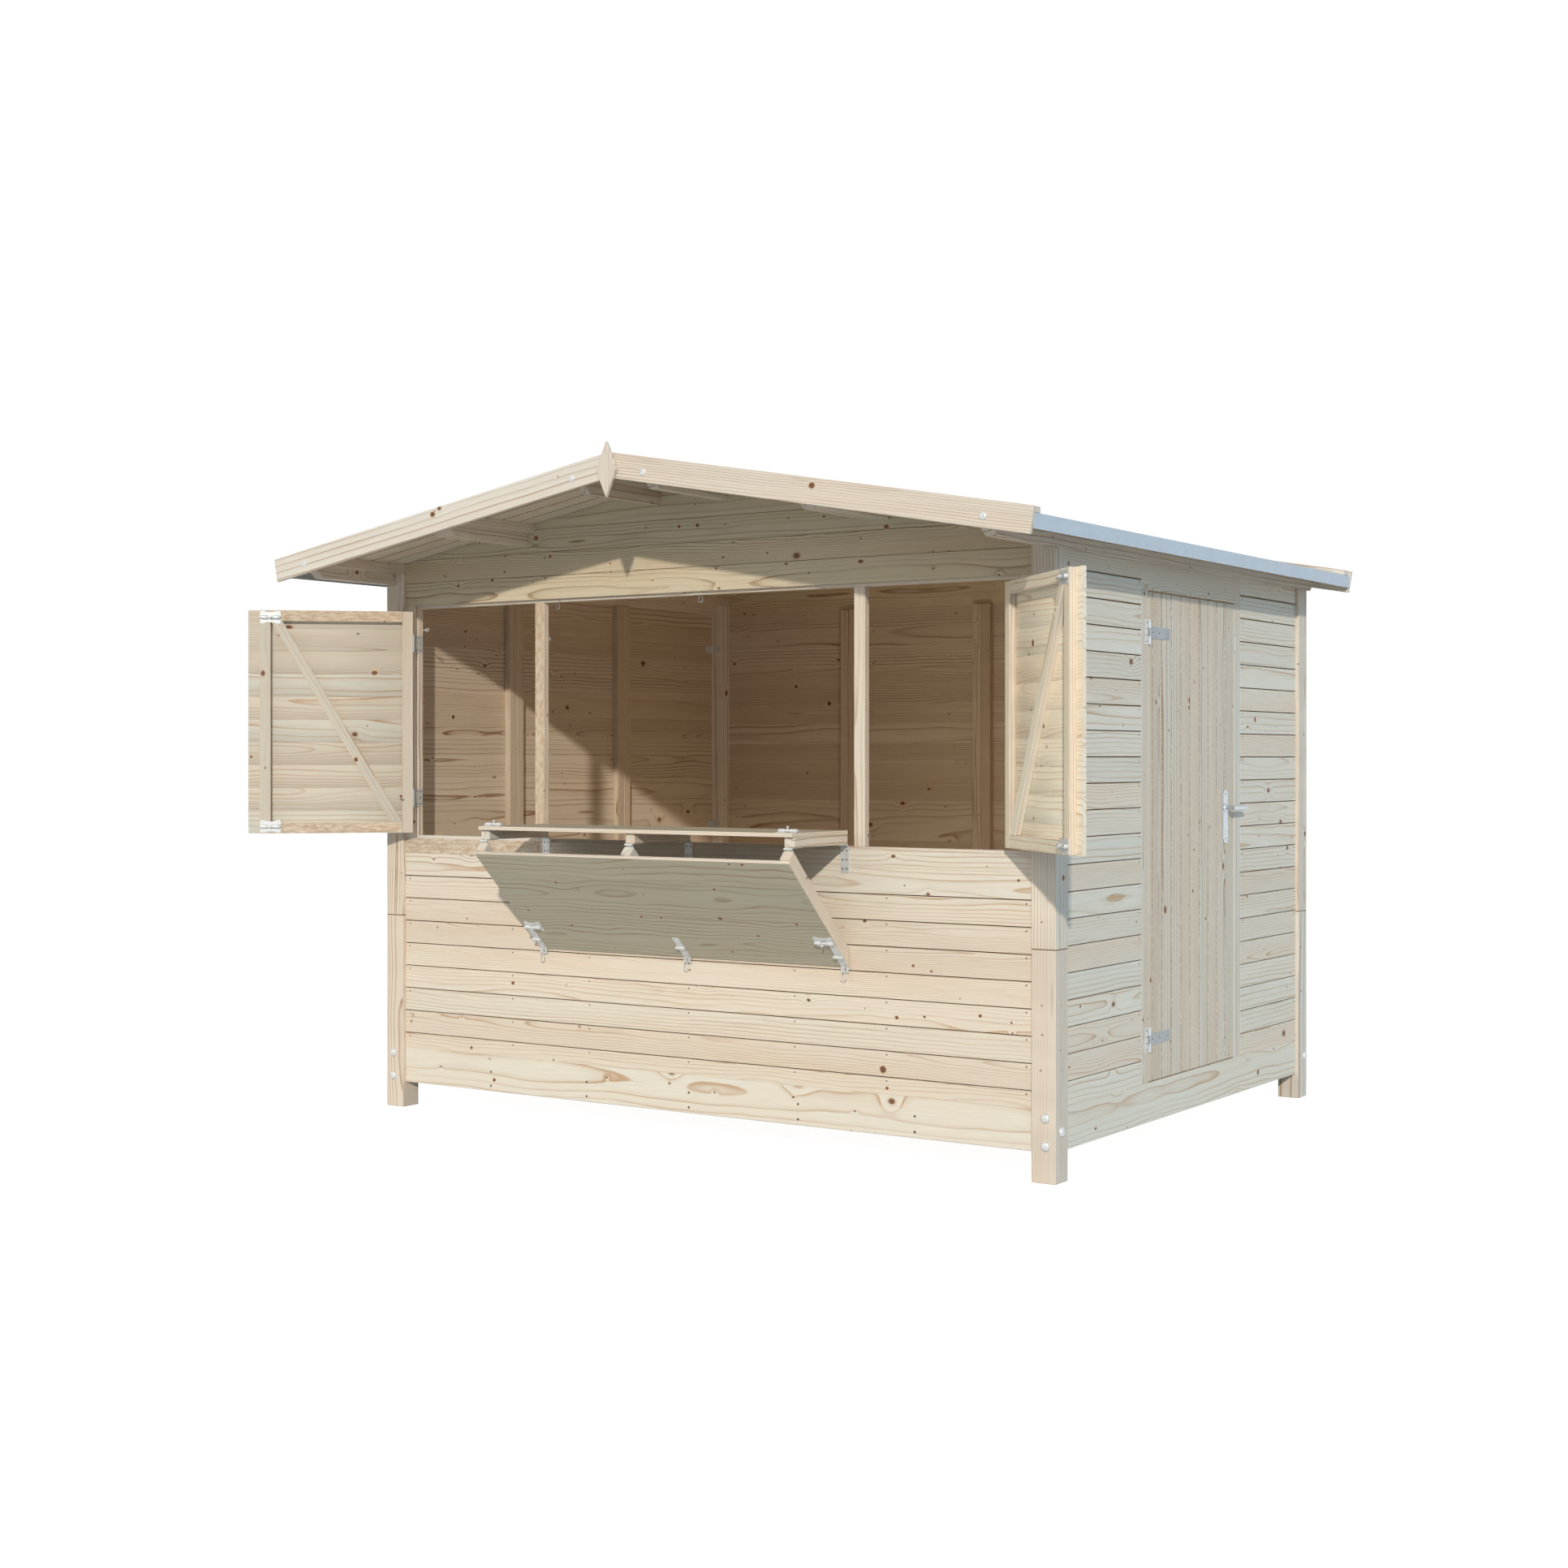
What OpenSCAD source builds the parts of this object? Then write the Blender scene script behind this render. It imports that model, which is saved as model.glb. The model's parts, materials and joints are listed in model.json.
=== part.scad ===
// Wooden market stall with a gable front, two side shutters and a folding counter.
// Millimetres, +Z up, +X along the front, +Y from the front to the rear.
// The origin is on the ground, in the middle of the whole plan.

/* [Stall] */
// Width over the corner posts
stall_width = 3000; // [2700:10:3600]
// Depth over the corner posts
stall_depth = 2300; // [2000:10:2800]
// Side of a square corner post
post_size = 90; // [80:1:110]
// Height of the post feet below the bearers
foot_height = 100; // [60:5:160]
// Height of the joint between a post and its base
post_joint_height = 770; // [600:10:950]
// Underside of the eave purlins above the ground
eave_height = 2097; // [2060:1:2250]

/* [Walls] */
// How far the wall boards lie behind the post faces
wall_recess = 14; // [8:1:20]
// Thickness of the wall boards
board_thick = 16; // [12:1:22]
// Height of the bearers around the base
bearer_height = 140; // [100:5:180]
// Thickness of the bearers
bearer_thick = 40; // [28:1:45]
// Width of the studs inside the walls
stud_width = 45; // [35:1:60]
// Depth of the studs inside the walls
stud_depth = 30; // [24:1:45]
// Distance between the pairs of rear studs
rear_stud_pitch = 705; // [550:10:850]
// Middle of the first pair of studs on the left wall
left_stud_first = 730; // [500:10:900]
// Middle of the second pair of studs on the left wall
left_stud_second = 1480; // [1300:10:1700]
// Thickness of the floor boards
floor_thick = 18; // [15:1:28]
// Width of a floor joist
joist_width = 45; // [35:1:60]
// Distance from the outer floor joists to the posts
joist_inset = 100; // [40:5:200]

/* [Serving opening] */
// Height of the opening between the sill rail and the head rail
opening_height = 906; // [820:1:1000]
// Underside of the head rail below the eave purlins
head_drop = 99; // [85:1:150]
// Height of a rail of the opening's frame
rail_height = 45; // [40:1:80]
// Depth of the opening's frame
frame_depth = 30; // [24:1:60]
// How far the rails show past the boards above and below
rail_show = 12; // [8:1:25]
// Height of the sill board
sill_board_height = 60; // [40:1:90]
// Width of the boards beside the opening
side_board_width = 45; // [30:1:60]
// How far the jambs show past the side boards
jamb_show = 8; // [5:1:15]
// Half of the clear width between the two mullions
middle_bay_half = 702; // [600:1:760]
// Width of a mullion
mullion_width = 45; // [35:1:60]
// Depth of a mullion
mullion_depth = 30; // [24:1:45]

/* [Shutters] */
// Thickness of the shutter boards
shutter_board = 14; // [12:1:20]
// Thickness of the shutter battens
shutter_batten = 25; // [18:1:30]
// Width of the shutter battens
shutter_batten_width = 43; // [30:1:55]
// Width of the diagonal brace
brace_width = 38; // [24:1:45]
// Gap below a shutter
shutter_gap_below = 11; // [6:1:20]
// Gap above a shutter
shutter_gap_above = 14; // [6:1:20]
// Gap between a shutter's battens and the mullion
shutter_side_gap = 7; // [6:1:12]
// How far a shutter's boards lap over the mullion
shutter_lap = 38; // [25:1:40]
// How far the shutters stand open
shutter_open = 137; // [90:1:165]
// Middle of the lower hinge above a shutter's bottom
shutter_hinge_low = 139; // [80:1:220]
// Middle of the upper hinge below a shutter's top
shutter_hinge_high = 126; // [80:1:220]
// Gap between the closed shutter boards and the mullions
shutter_seat_gap = 5; // [5:0.5:8]

/* [Counter] */
// Distance between the two hinge lines of the counter
counter_depth = 350; // [300:1:380]
// Thickness of the counter and flap sheets
sheet_thick = 14; // [10:1:18]
// Thickness of the counter battens
counter_batten = 36; // [28:1:45]
// Thickness of the flap battens
flap_batten = 36; // [24:1:40]
// Width of the counter and flap battens
counter_batten_width = 41; // [30:1:60]
// Gap between the hatch and the mullions
hatch_side_gap = 6; // [5:1:12]
// Gap between the closed hatch and the head rail
hatch_top_gap = 5; // [5:1:20]
// How far the counter sheet stands past its hinge line
counter_nose = 8; // [4:1:15]
// Gap between the two sheets when the hatch is flat
sheet_gap = 6; // [5:1:12]

/* [Door] */
// Front edge of the doorway in the right wall
doorway_start = 702; // [500:1:800]
// Length of the doorway along the right wall
doorway_length = 913; // [850:1:1000]
// Height of the wall over the doorway, up to the eave purlin
over_door_height = 97; // [60:1:160]
// Width of the jamb board on the hinge side
hinge_jamb = 57; // [50:1:100]
// Width of the jamb board on the lock side
lock_jamb = 62; // [50:1:80]
// Gap around the door
door_gap = 6; // [5:1:10]
// Thickness of the ledges behind the door
ledge_thick = 24; // [18:1:30]
// Height of a ledge
ledge_height = 90; // [70:1:120]
// How far the ledges lie inside the door's edges
ledge_inset = 40; // [30:1:60]
// Height of the lever above the ground
lever_height = 1210; // [1050:5:1350]
// Distance from the lever's spindle to the door's edge
lever_inset = 88; // [70:1:110]
// Distance from the spindle down to the keyhole
keyhole_drop = 95; // [70:1:110]

/* [Roof] */
// Pitch of the roof in degrees
roof_pitch = 10; // [7:0.5:12]
// Height of an eave purlin at its outer face
purlin_height = 67; // [55:1:90]
// Width of the lower part of an eave purlin
eave_purlin_foot = 48; // [40:1:60]
// Depth of the lower part of the purlins
purlin_foot_depth = 45; // [30:1:50]
// Distance from the middle of the roof to a middle purlin
mid_purlin_at = 733; // [600:1:900]
// Width of a middle purlin
mid_purlin_width = 129; // [100:1:150]
// Step between the upper and lower part of a middle purlin
mid_purlin_step = 37; // [20:1:50]
// Height of the upper part of a middle purlin at its outer face
mid_purlin_top = 8; // [5:1:20]
// Distance from the middle of the roof to a ridge purlin
ridge_purlin_at = 131; // [80:1:200]
// Width of a ridge purlin
ridge_purlin_width = 42; // [30:1:60]
// Height of a ridge purlin at its inner face
ridge_purlin_height = 70; // [55:1:90]
// Length of the chamfer at the purlin ends
purlin_chamfer = 50; // [30:1:70]
// Height of the chamfer at the purlin ends
purlin_chamfer_height = 39; // [20:1:42]
// Thickness of the roof boards
roof_board = 16; // [15:1:25]
// Thickness of the roof covering
cover_thick = 2; // [2:0.5:5]
// Thickness of the strips along the gable edges
edge_strip = 20; // [12:1:25]
// Width of the strips along the gable edges
edge_strip_width = 52; // [40:1:70]
// Height of a bargeboard across its length
barge_height = 89; // [70:1:120]
// Thickness of a bargeboard
barge_thick = 16; // [12:1:22]
// How far the roof reaches past the front posts
front_overhang = 460; // [200:5:600]
// How far the roof reaches past the rear posts
rear_overhang = 110; // [60:5:400]
// How far the bargeboards reach past the side of the posts
side_overhang = 158; // [100:1:250]
// How far the bargeboards reach past the roof boards
barge_past_roof = 12; // [5:1:20]
// Drop of the metal trim along the eaves
eave_trim_drop = 50; // [35:1:70]
// Width of the metal trim on the roof boards
eave_trim_top = 45; // [30:1:60]
// Thickness of the metal trim
trim_thick = 2; // [1:0.5:3]
// Width of a gable diamond
diamond_width = 90; // [70:1:120]
// Height of a gable diamond
diamond_height = 200; // [150:1:260]

/* [Fittings] */
// Thickness of the hinge leaves
leaf_thick = 2; // [1.5:0.5:3]
// Radius of the hinge knuckles
knuckle_radius = 4; // [3:0.5:4]
// Distance from a hinge pin to the face that it serves
pin_offset = 5; // [4.5:0.5:6]
// Play between two knuckles
knuckle_play = 0.3; // [0.2:0.1:0.5]
// Length of a shutter hinge
butt_length = 70; // [60:1:100]
// Width of a counter hinge
strap_width = 34; // [24:1:40]
// Length of a counter hinge leaf on the wall
strap_length = 96; // [70:1:110]
// Length of a counter hinge leaf under a batten
batten_leaf = 55; // [40:1:70]
// Height of the plate of a door hinge
tee_plate_height = 89; // [70:1:110]
// Width of the plate of a door hinge
tee_plate_width = 28; // [24:1:50]
// Length of the strap of a door hinge
tee_strap_length = 186; // [120:1:220]
// Height of the strap of a door hinge
tee_strap_height = 42; // [30:1:50]
// Middle of the upper door hinge below the door's top
tee_inset_top = 144; // [100:1:250]
// Middle of the lower door hinge above the door's bottom
tee_inset_bottom = 149; // [100:1:250]

/* [Hidden] */
$fn = 48;
// Play between joined pieces that stay separate solids
joint_play = 0.4;
half_width = stall_width / 2;
inner_half = half_width - post_size;
bearer_top = foot_height + bearer_height;
wall_face = wall_recess;
frame_face = wall_recess + board_thick;
side_face = half_width - wall_recess;
side_back = side_face - board_thick;
rear_face = stall_depth - wall_recess;
rear_back = rear_face - board_thick;
diamond_thick = barge_thick;
// The plan runs from the front diamond to the rear diamond
plan_middle = (stall_depth + rear_overhang - front_overhang) / 2;

// Serving opening, hung from the eave
head_height = eave_height - head_drop;
sill_height = head_height - opening_height;
sill_board_top = sill_height - rail_show;
sill_board_bottom = sill_board_top - sill_board_height;
gable_bottom = head_height + rail_show;
opening_half = inner_half - side_board_width;
jamb_face = opening_half - jamb_show;
mullion_outer = middle_bay_half + mullion_width;

// Shutters, in a frame that starts at the hinge pin
pin_to_leaf = 2;
shutter_edge = 4;
shutter_pin_x = jamb_face - pin_to_leaf;
shutter_pin_y = frame_face - shutter_seat_gap - shutter_board - pin_offset;
shutter_free = shutter_pin_x - mullion_outer + shutter_lap;
shutter_frame_end = shutter_pin_x - mullion_outer - shutter_side_gap;
shutter_bottom = sill_height + shutter_gap_below;
shutter_top = head_height - shutter_gap_above;
shutter_hinges = [shutter_bottom + shutter_hinge_low, shutter_top - shutter_hinge_high];

// Hatch: counter hinge line, then flap hinge line
hatch_half = middle_bay_half - hatch_side_gap;
hatch_skin = 4;
hinge_end = 6;
foot_gap = 6;
counter_pin_proud = 8;
counter_pin_lift = 3;
counter_pin_y = wall_face - counter_pin_proud;
counter_pin_z = sill_height + counter_pin_lift;
counter_under = counter_pin_z + hatch_skin;
flap_pin_y = counter_pin_y - counter_depth;
flap_thick = hatch_skin + flap_batten + sheet_thick;
flap_reach = wall_face - foot_gap - flap_pin_y;
flap_length = head_height - hatch_top_gap - counter_pin_z - counter_depth;
flap_fold = acos(flap_reach / sqrt(pow(flap_length, 2) + pow(flap_thick, 2)))
    - atan(flap_thick / flap_length);
hatch_batten_at = hatch_half - counter_batten_width / 2;
hatch_battens = [-hatch_batten_at, 0, hatch_batten_at];

// Door
doorway_top = eave_height - over_door_height;
door_start = doorway_start + hinge_jamb + door_gap;
door_end = doorway_start + doorway_length - lock_jamb - door_gap;
door_bottom = bearer_top + door_gap;
door_top = doorway_top - door_gap;
door_pin_x = side_face + pin_offset;
door_pin_y = door_start - shutter_edge;
tee_heights = [door_bottom + tee_inset_bottom, door_top - tee_inset_top];
handle_plate = [46, 206];
handle_drop = 33;

// Roof
pitch_rise = tan(roof_pitch);
pitch_stretch = 1 / cos(roof_pitch);
soffit_ridge = eave_height + purlin_height + half_width * pitch_rise;
roof_front = -front_overhang + barge_thick;
roof_rear = stall_depth + rear_overhang - barge_thick;
barge_end = half_width + side_overhang;
roof_edge = barge_end - barge_past_roof;
cover_edge = roof_edge - eave_trim_top;
// Heights of the roof layers over the purlins, with a little play below each layer
layer_play = 0.1;
boards_up = layer_play + roof_board * pitch_stretch;
cover_up = boards_up + layer_play + cover_thick * pitch_stretch;
strip_up = cover_up + layer_play + edge_strip * pitch_stretch;

function soffit(x) = soffit_ridge - abs(x) * pitch_rise;

mid_purlin_outer = mid_purlin_at + mid_purlin_width;
mid_purlin_bottom = soffit(mid_purlin_outer) - mid_purlin_top - purlin_foot_depth;
ridge_purlin_bottom = soffit(ridge_purlin_at) - ridge_purlin_height;
cut_over = 5;

spruce = "#e3d3b4";
spruce_dark = "#d8c6a4";
zinc = "#b9bfc4";
felt = "#9aa0a3";

// Shared placing and shapes

module in_plan() translate([0, -plan_middle, 0]) children();

module both_sides() {
    children();
    mirror([1, 0, 0]) children();
}

module block(low, high) translate(low) cube(high - low);

// A cross section in X and Z, drawn out along Y
module along_y(from, to) translate([0, to, 0]) rotate([90, 0, 0]) linear_extrude(to - from) children();

// A cross section in Y and Z, drawn out along X
module along_x(from, to) {
    translate([from, 0, 0]) rotate([90, 0, 90]) linear_extrude(to - from) children();
}

// One knuckle of a hinge whose pin stands along Z
module knuckle(from, to) translate([0, 0, from]) cylinder(r = knuckle_radius, h = to - from);

// The outer knuckles of a hinge of a given length, about its middle
module fixed_knuckles(length) {
    knuckle(-length / 2, -length / 6 - knuckle_play);
    knuckle(length / 6 + knuckle_play, length / 2);
}

module moving_knuckle(length) knuckle(-length / 6, length / 6);

// Base and walls

module at_corners() for (x = [-1, 1], y = [0, stall_depth - post_size]) {
    translate([x > 0 ? inner_half : -half_width, y, 0]) children();
}

module post_bases() color(spruce) in_plan() at_corners() cube([post_size, post_size, post_joint_height]);

module corner_posts() color(spruce) in_plan() both_sides() for (y = [0, stall_depth - post_size]) {
    along_y(y, y + post_size) polygon([
        [inner_half, post_joint_height], [half_width, post_joint_height], [half_width, eave_height],
        [half_width - eave_purlin_foot, eave_height],
        [half_width - eave_purlin_foot, eave_height + purlin_foot_depth],
        [inner_half, eave_height + purlin_foot_depth]
    ]);
}

module bearers() color(spruce) in_plan() {
    for (y = [wall_face, rear_face - bearer_thick]) {
        block([-inner_half, y, foot_height], [inner_half, y + bearer_thick, bearer_top]);
    }
    both_sides() block([side_face - bearer_thick, post_size, foot_height],
        [side_face, stall_depth - post_size, bearer_top]);
}

module floor_joists() color(spruce_dark) in_plan() {
    joist_span = inner_half - joist_width / 2 - joist_inset;
    for (i = [-2:2]) {
        x = i * joist_span / 2;
        block([x - joist_width / 2, wall_face + bearer_thick, foot_height],
            [x + joist_width / 2, rear_face - bearer_thick, bearer_top - floor_thick]);
    }
}

module floor_boards() color(spruce_dark) in_plan() {
    front = wall_face + bearer_thick;
    rear = rear_face - bearer_thick;
    side = side_face - bearer_thick;
    translate([0, 0, bearer_top - floor_thick]) linear_extrude(floor_thick) {
        translate([-inner_half, front]) square([2 * inner_half, rear - front]);
        translate([-side, post_size]) square([2 * side, stall_depth - 2 * post_size]);
    }
}

module front_wall() color(spruce) in_plan() {
    block([-inner_half, wall_face, bearer_top], [inner_half, frame_face, sill_board_bottom]);
}

module sill_board() color(spruce) in_plan() {
    block([-inner_half, wall_face, sill_board_bottom], [inner_half, frame_face, sill_board_top]);
}

module front_side_boards() color(spruce) in_plan() both_sides() {
    block([opening_half, wall_face, sill_board_top], [inner_half, frame_face, gable_bottom]);
}

// A gable from a given height up to the roof boards, notched for the purlins
module gable(from, face) difference() {
    along_y(face, face + board_thick) polygon([
        [-inner_half, from], [inner_half, from], [inner_half, soffit(inner_half)],
        [0, soffit_ridge], [-inner_half, soffit(inner_half)]
    ]);
    both_sides() along_y(face - 1, face + board_thick + 1) {
        middle_purlin_section(cut_over);
        ridge_purlin_section(cut_over);
    }
}

module front_gable() color(spruce) in_plan() gable(gable_bottom, wall_face);

module rear_gable() color(spruce) in_plan() gable(eave_height, rear_back);

module rear_wall() color(spruce) in_plan() {
    block([-inner_half, rear_back, bearer_top], [inner_half, rear_face, eave_height]);
}

module left_wall() color(spruce) in_plan() {
    block([-side_face, post_size, bearer_top], [-side_back, stall_depth - post_size, eave_height]);
}

module right_wall_front() color(spruce) in_plan() {
    block([side_back, post_size, bearer_top], [side_face, doorway_start, eave_height]);
}

module right_wall_rear() color(spruce) in_plan() {
    block([side_back, doorway_start + doorway_length, bearer_top],
        [side_face, stall_depth - post_size, eave_height]);
}

module right_wall_over_door() color(spruce) in_plan() {
    block([side_back, doorway_start, doorway_top], [side_face, doorway_start + doorway_length, eave_height]);
}

module door_jambs() color(spruce) in_plan() {
    doorway_end = doorway_start + doorway_length;
    block([side_back, doorway_start, bearer_top], [side_face, doorway_start + hinge_jamb, doorway_top]);
    block([side_back, doorway_end - lock_jamb, bearer_top], [side_face, doorway_end, doorway_top]);
}

module opening_rails() color(spruce) in_plan() for (z = [sill_height - rail_height, head_height]) {
    block([-inner_half, frame_face, z], [inner_half, frame_face + frame_depth, z + rail_height]);
}

module opening_jambs() color(spruce) in_plan() both_sides() {
    block([jamb_face, frame_face, sill_height], [inner_half, frame_face + frame_depth, head_height]);
}

module mullions() color(spruce) in_plan() both_sides() {
    block([middle_bay_half, frame_face, sill_height],
        [mullion_outer, frame_face + mullion_depth, head_height]);
}

// Where the two studs of a pair start, from the middle of the pair
function stud_pair() = [-stud_width - joint_play / 2, joint_play / 2];

module wall_studs() color(spruce) in_plan() {
    // Left wall
    for (at = [left_stud_first, left_stud_second], start = stud_pair()) {
        y = at + start;
        block([-side_back, y, bearer_top], [-side_back + stud_depth, y + stud_width, eave_height]);
    }
    // Rear wall
    for (i = [-1:1], start = stud_pair()) {
        x = i * rear_stud_pitch + start;
        block([x, rear_back - stud_depth, bearer_top], [x + stud_width, rear_back, eave_height]);
    }
    // Front wall, below the mullions and in the middle
    for (i = [-1:1]) {
        x = i * (middle_bay_half + mullion_width / 2) - stud_width / 2;
        block([x, frame_face, bearer_top],
            [x + stud_width, frame_face + stud_depth, sill_height - rail_height]);
    }
    // Right wall, beside the doorway
    for (y = [doorway_start - stud_width, doorway_start + doorway_length]) {
        block([side_back - stud_depth, y, bearer_top], [side_back, y + stud_width, eave_height]);
    }
}

// Roof

module eave_purlin_section() polygon([
    [half_width - eave_purlin_foot, eave_height], [half_width, eave_height],
    [half_width, soffit(half_width)], [inner_half, soffit(inner_half)],
    [inner_half, eave_height + purlin_foot_depth],
    [half_width - eave_purlin_foot, eave_height + purlin_foot_depth]
]);

// The purlin sections end at the soffit, or over it where they cut a notch
module middle_purlin_section(over = 0) {
    step = mid_purlin_bottom + purlin_foot_depth;
    polygon([
        [mid_purlin_at, soffit(mid_purlin_at) + over], [mid_purlin_outer, soffit(mid_purlin_outer) + over],
        [mid_purlin_outer, mid_purlin_bottom], [mid_purlin_at + mid_purlin_step, mid_purlin_bottom],
        [mid_purlin_at + mid_purlin_step, step], [mid_purlin_at, step]
    ]);
}

module ridge_purlin_section(over = 0) {
    outer = ridge_purlin_at + ridge_purlin_width;
    polygon([
        [ridge_purlin_at, soffit(ridge_purlin_at) + over], [outer, soffit(outer) + over],
        [outer, ridge_purlin_bottom], [ridge_purlin_at, ridge_purlin_bottom]
    ]);
}

// A pair of purlins with the lower corner of each end cut off at a slope
module purlins(bottom) both_sides() difference() {
    along_y(roof_front, roof_rear) children();
    along_x(-1, half_width + 1) for (end = [[roof_front, 1], [roof_rear, -1]]) {
        inner = end[0] + end[1] * purlin_chamfer;
        polygon([
            [end[0] - end[1], bottom - 1], [inner, bottom - 1], [inner, bottom],
            [end[0], bottom + purlin_chamfer_height], [end[0] - end[1], bottom + purlin_chamfer_height]
        ]);
    }
}

module eave_purlins() color(spruce) in_plan() purlins(eave_height) eave_purlin_section();

module roof_purlins() color(spruce) in_plan() {
    purlins(mid_purlin_bottom) middle_purlin_section();
    purlins(ridge_purlin_bottom) ridge_purlin_section();
}

// The section of a layer of the right roof slope, between two heights over the soffit
module slope_layer(from, to, low, high) polygon([
    [from, soffit(from) + low], [to, soffit(to) + low], [to, soffit(to) + high], [from, soffit(from) + high]
]);

module roof_boards() color(spruce) in_plan() both_sides() along_y(roof_front, roof_rear) {
    slope_layer(joint_play / 2, roof_edge, layer_play, boards_up);
}

// Two sheets that meet at the ridge
module roof_cover() color(felt) in_plan() both_sides() along_y(roof_front, roof_rear) {
    slope_layer(joint_play / 2, cover_edge - layer_play, boards_up + layer_play, cover_up);
}

// A strip on the roof boards and a face strip that hangs over their edge
module eave_trims() color(zinc) in_plan() both_sides() along_y(roof_front, roof_rear) {
    inner = roof_edge + layer_play;
    outer = inner + trim_thick;
    bottom = soffit(roof_edge) + cover_up - eave_trim_drop;
    top = soffit(outer) + cover_up;
    slope_layer(cover_edge, roof_edge, boards_up + layer_play, cover_up);
    polygon([[inner, bottom], [outer, bottom], [outer, top], [inner, top]]);
}

// A bargeboard on the right slope, plumb at the ridge and square at the eave
module bargeboard_section() {
    start = joint_play / 2;
    peak = soffit(start) + strip_up;
    top = soffit(barge_end) + strip_up;
    polygon([
        [start, peak], [barge_end, top],
        [barge_end - barge_height * sin(roof_pitch), top - barge_height * cos(roof_pitch)],
        [start, peak - barge_height * pitch_stretch]
    ]);
}

module bargeboards() color(spruce) in_plan() both_sides() for (y = [-front_overhang, roof_rear]) {
    along_y(y, y + barge_thick) bargeboard_section();
}

module edge_strips() color(spruce) in_plan() both_sides() {
    for (y = [roof_front, roof_rear - edge_strip_width]) {
        along_y(y, y + edge_strip_width) {
            slope_layer(joint_play / 2, roof_edge, cover_up + layer_play, strip_up);
        }
    }
}

module gable_diamonds() color(spruce) in_plan() {
    middle = soffit_ridge + strip_up - barge_height * 0.7;
    for (y = [-front_overhang - diamond_thick, stall_depth + rear_overhang]) {
        along_y(y, y + diamond_thick) polygon([
            [0, middle + diamond_height / 2], [diamond_width / 2, middle],
            [0, middle - diamond_height / 2], [-diamond_width / 2, middle]
        ]);
    }
}

// Door

module door_boards() color(spruce) in_plan() {
    block([side_back, door_start, door_bottom], [side_face, door_end, door_top]);
}

module door_ledges() color(spruce) in_plan() {
    middle = (door_bottom + door_top) / 2;
    for (z = [tee_heights[0], middle, tee_heights[1]]) {
        block([side_back - ledge_thick, door_start + ledge_inset, z - ledge_height / 2],
            [side_back, door_end - ledge_inset, z + ledge_height / 2]);
    }
}

module at_door_hinges() for (z = tee_heights) translate([door_pin_x, door_pin_y, z]) children();

// The plates stop short of the moving knuckle and reach in beside it
module door_hinge_plates() at_door_hinges() {
    fixed_knuckles(tee_plate_height);
    near = -knuckle_radius - knuckle_play;
    back = leaf_thick - pin_offset;
    block([-pin_offset, near - tee_plate_width, -tee_plate_height / 2], [back, near, tee_plate_height / 2]);
    for (start = [-tee_plate_height / 2, tee_plate_height / 6 + knuckle_play]) {
        block([-pin_offset, near, start], [back, 0, start + tee_plate_height / 3 - knuckle_play]);
    }
}

// The strap of a tee hinge: a tongue at the knuckle, a neck and a round end
module tee_strap_outline() {
    tongue = tee_plate_height / 6;
    round_end = tee_strap_height / 2;
    neck = tee_strap_length - 2 * round_end;
    translate([0, -tongue]) square([8, 2 * tongue]);
    difference() {
        translate([hinge_end, -round_end]) square([neck - hinge_end + 4, tee_strap_height]);
        for (side = [-1, 1]) translate([neck + 4, side * round_end]) circle(6);
    }
    translate([tee_strap_length - round_end, 0]) circle(round_end);
}

module door_hinge_straps() color(zinc) in_plan() at_door_hinges() {
    moving_knuckle(tee_plate_height);
    translate([-pin_offset, 0, 0]) rotate([90, 0, 90]) linear_extrude(leaf_thick) tee_strap_outline();
}

module door_handle() color(zinc) in_plan() {
    spindle_y = door_end - lever_inset;
    plate_top = lever_height + handle_plate[1] / 2 - handle_drop;
    round_end = handle_plate[0] / 2;
    plate_thick = 4;
    reach = 40;
    lever_length = 118;
    bar = 9;
    // Back plate with round ends and a keyhole
    translate([side_face, spindle_y, 0]) rotate([90, 0, 90]) linear_extrude(plate_thick) difference() {
        union() {
            translate([-round_end, plate_top - handle_plate[1] + round_end]) {
                square([handle_plate[0], handle_plate[1] - 2 * round_end]);
            }
            for (z = [plate_top - handle_plate[1] + round_end, plate_top - round_end]) {
                translate([0, z]) circle(round_end);
            }
        }
        translate([0, lever_height - keyhole_drop]) circle(5);
    }
    // Spindle and lever
    translate([side_face + plate_thick, spindle_y, lever_height]) {
        rotate([0, 90, 0]) cylinder(r = bar, h = reach);
        translate([reach - bar, 0, 0]) {
            rotate([-90, 0, 0]) cylinder(r = bar, h = lever_length);
            translate([0, lever_length, 0]) sphere(bar);
        }
    }
}

// Shutters, drawn for the left one as it closes and then swung open about the pin

module at_left_shutter() {
    translate([-shutter_pin_x, shutter_pin_y, 0]) rotate([0, 0, -shutter_open]) children();
}

module shutter_boards() {
    block([shutter_edge, pin_offset, shutter_bottom],
        [shutter_free, pin_offset + shutter_board, shutter_top]);
}

// Two stiles, two rails and a brace that runs from the free top corner to the hinge side
module shutter_frame() {
    front = pin_offset + shutter_board;
    back = front + shutter_batten;
    width = shutter_batten_width;
    low = shutter_bottom + width + joint_play;
    high = shutter_top - width - joint_play;
    left = shutter_edge + width + joint_play;
    right = shutter_frame_end - width - joint_play;
    slant = brace_width * sqrt(1 + pow((right - left) / (high - low), 2));
    for (x = [shutter_edge, shutter_frame_end - width]) {
        block([x, front, shutter_bottom], [x + width, back, shutter_top]);
    }
    for (z = [shutter_bottom, shutter_top - width]) {
        block([left, front, z], [right, back, z + width]);
    }
    along_y(front, back) polygon([[right, high], [right - slant, high], [left, low], [left + slant, low]]);
}

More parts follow.
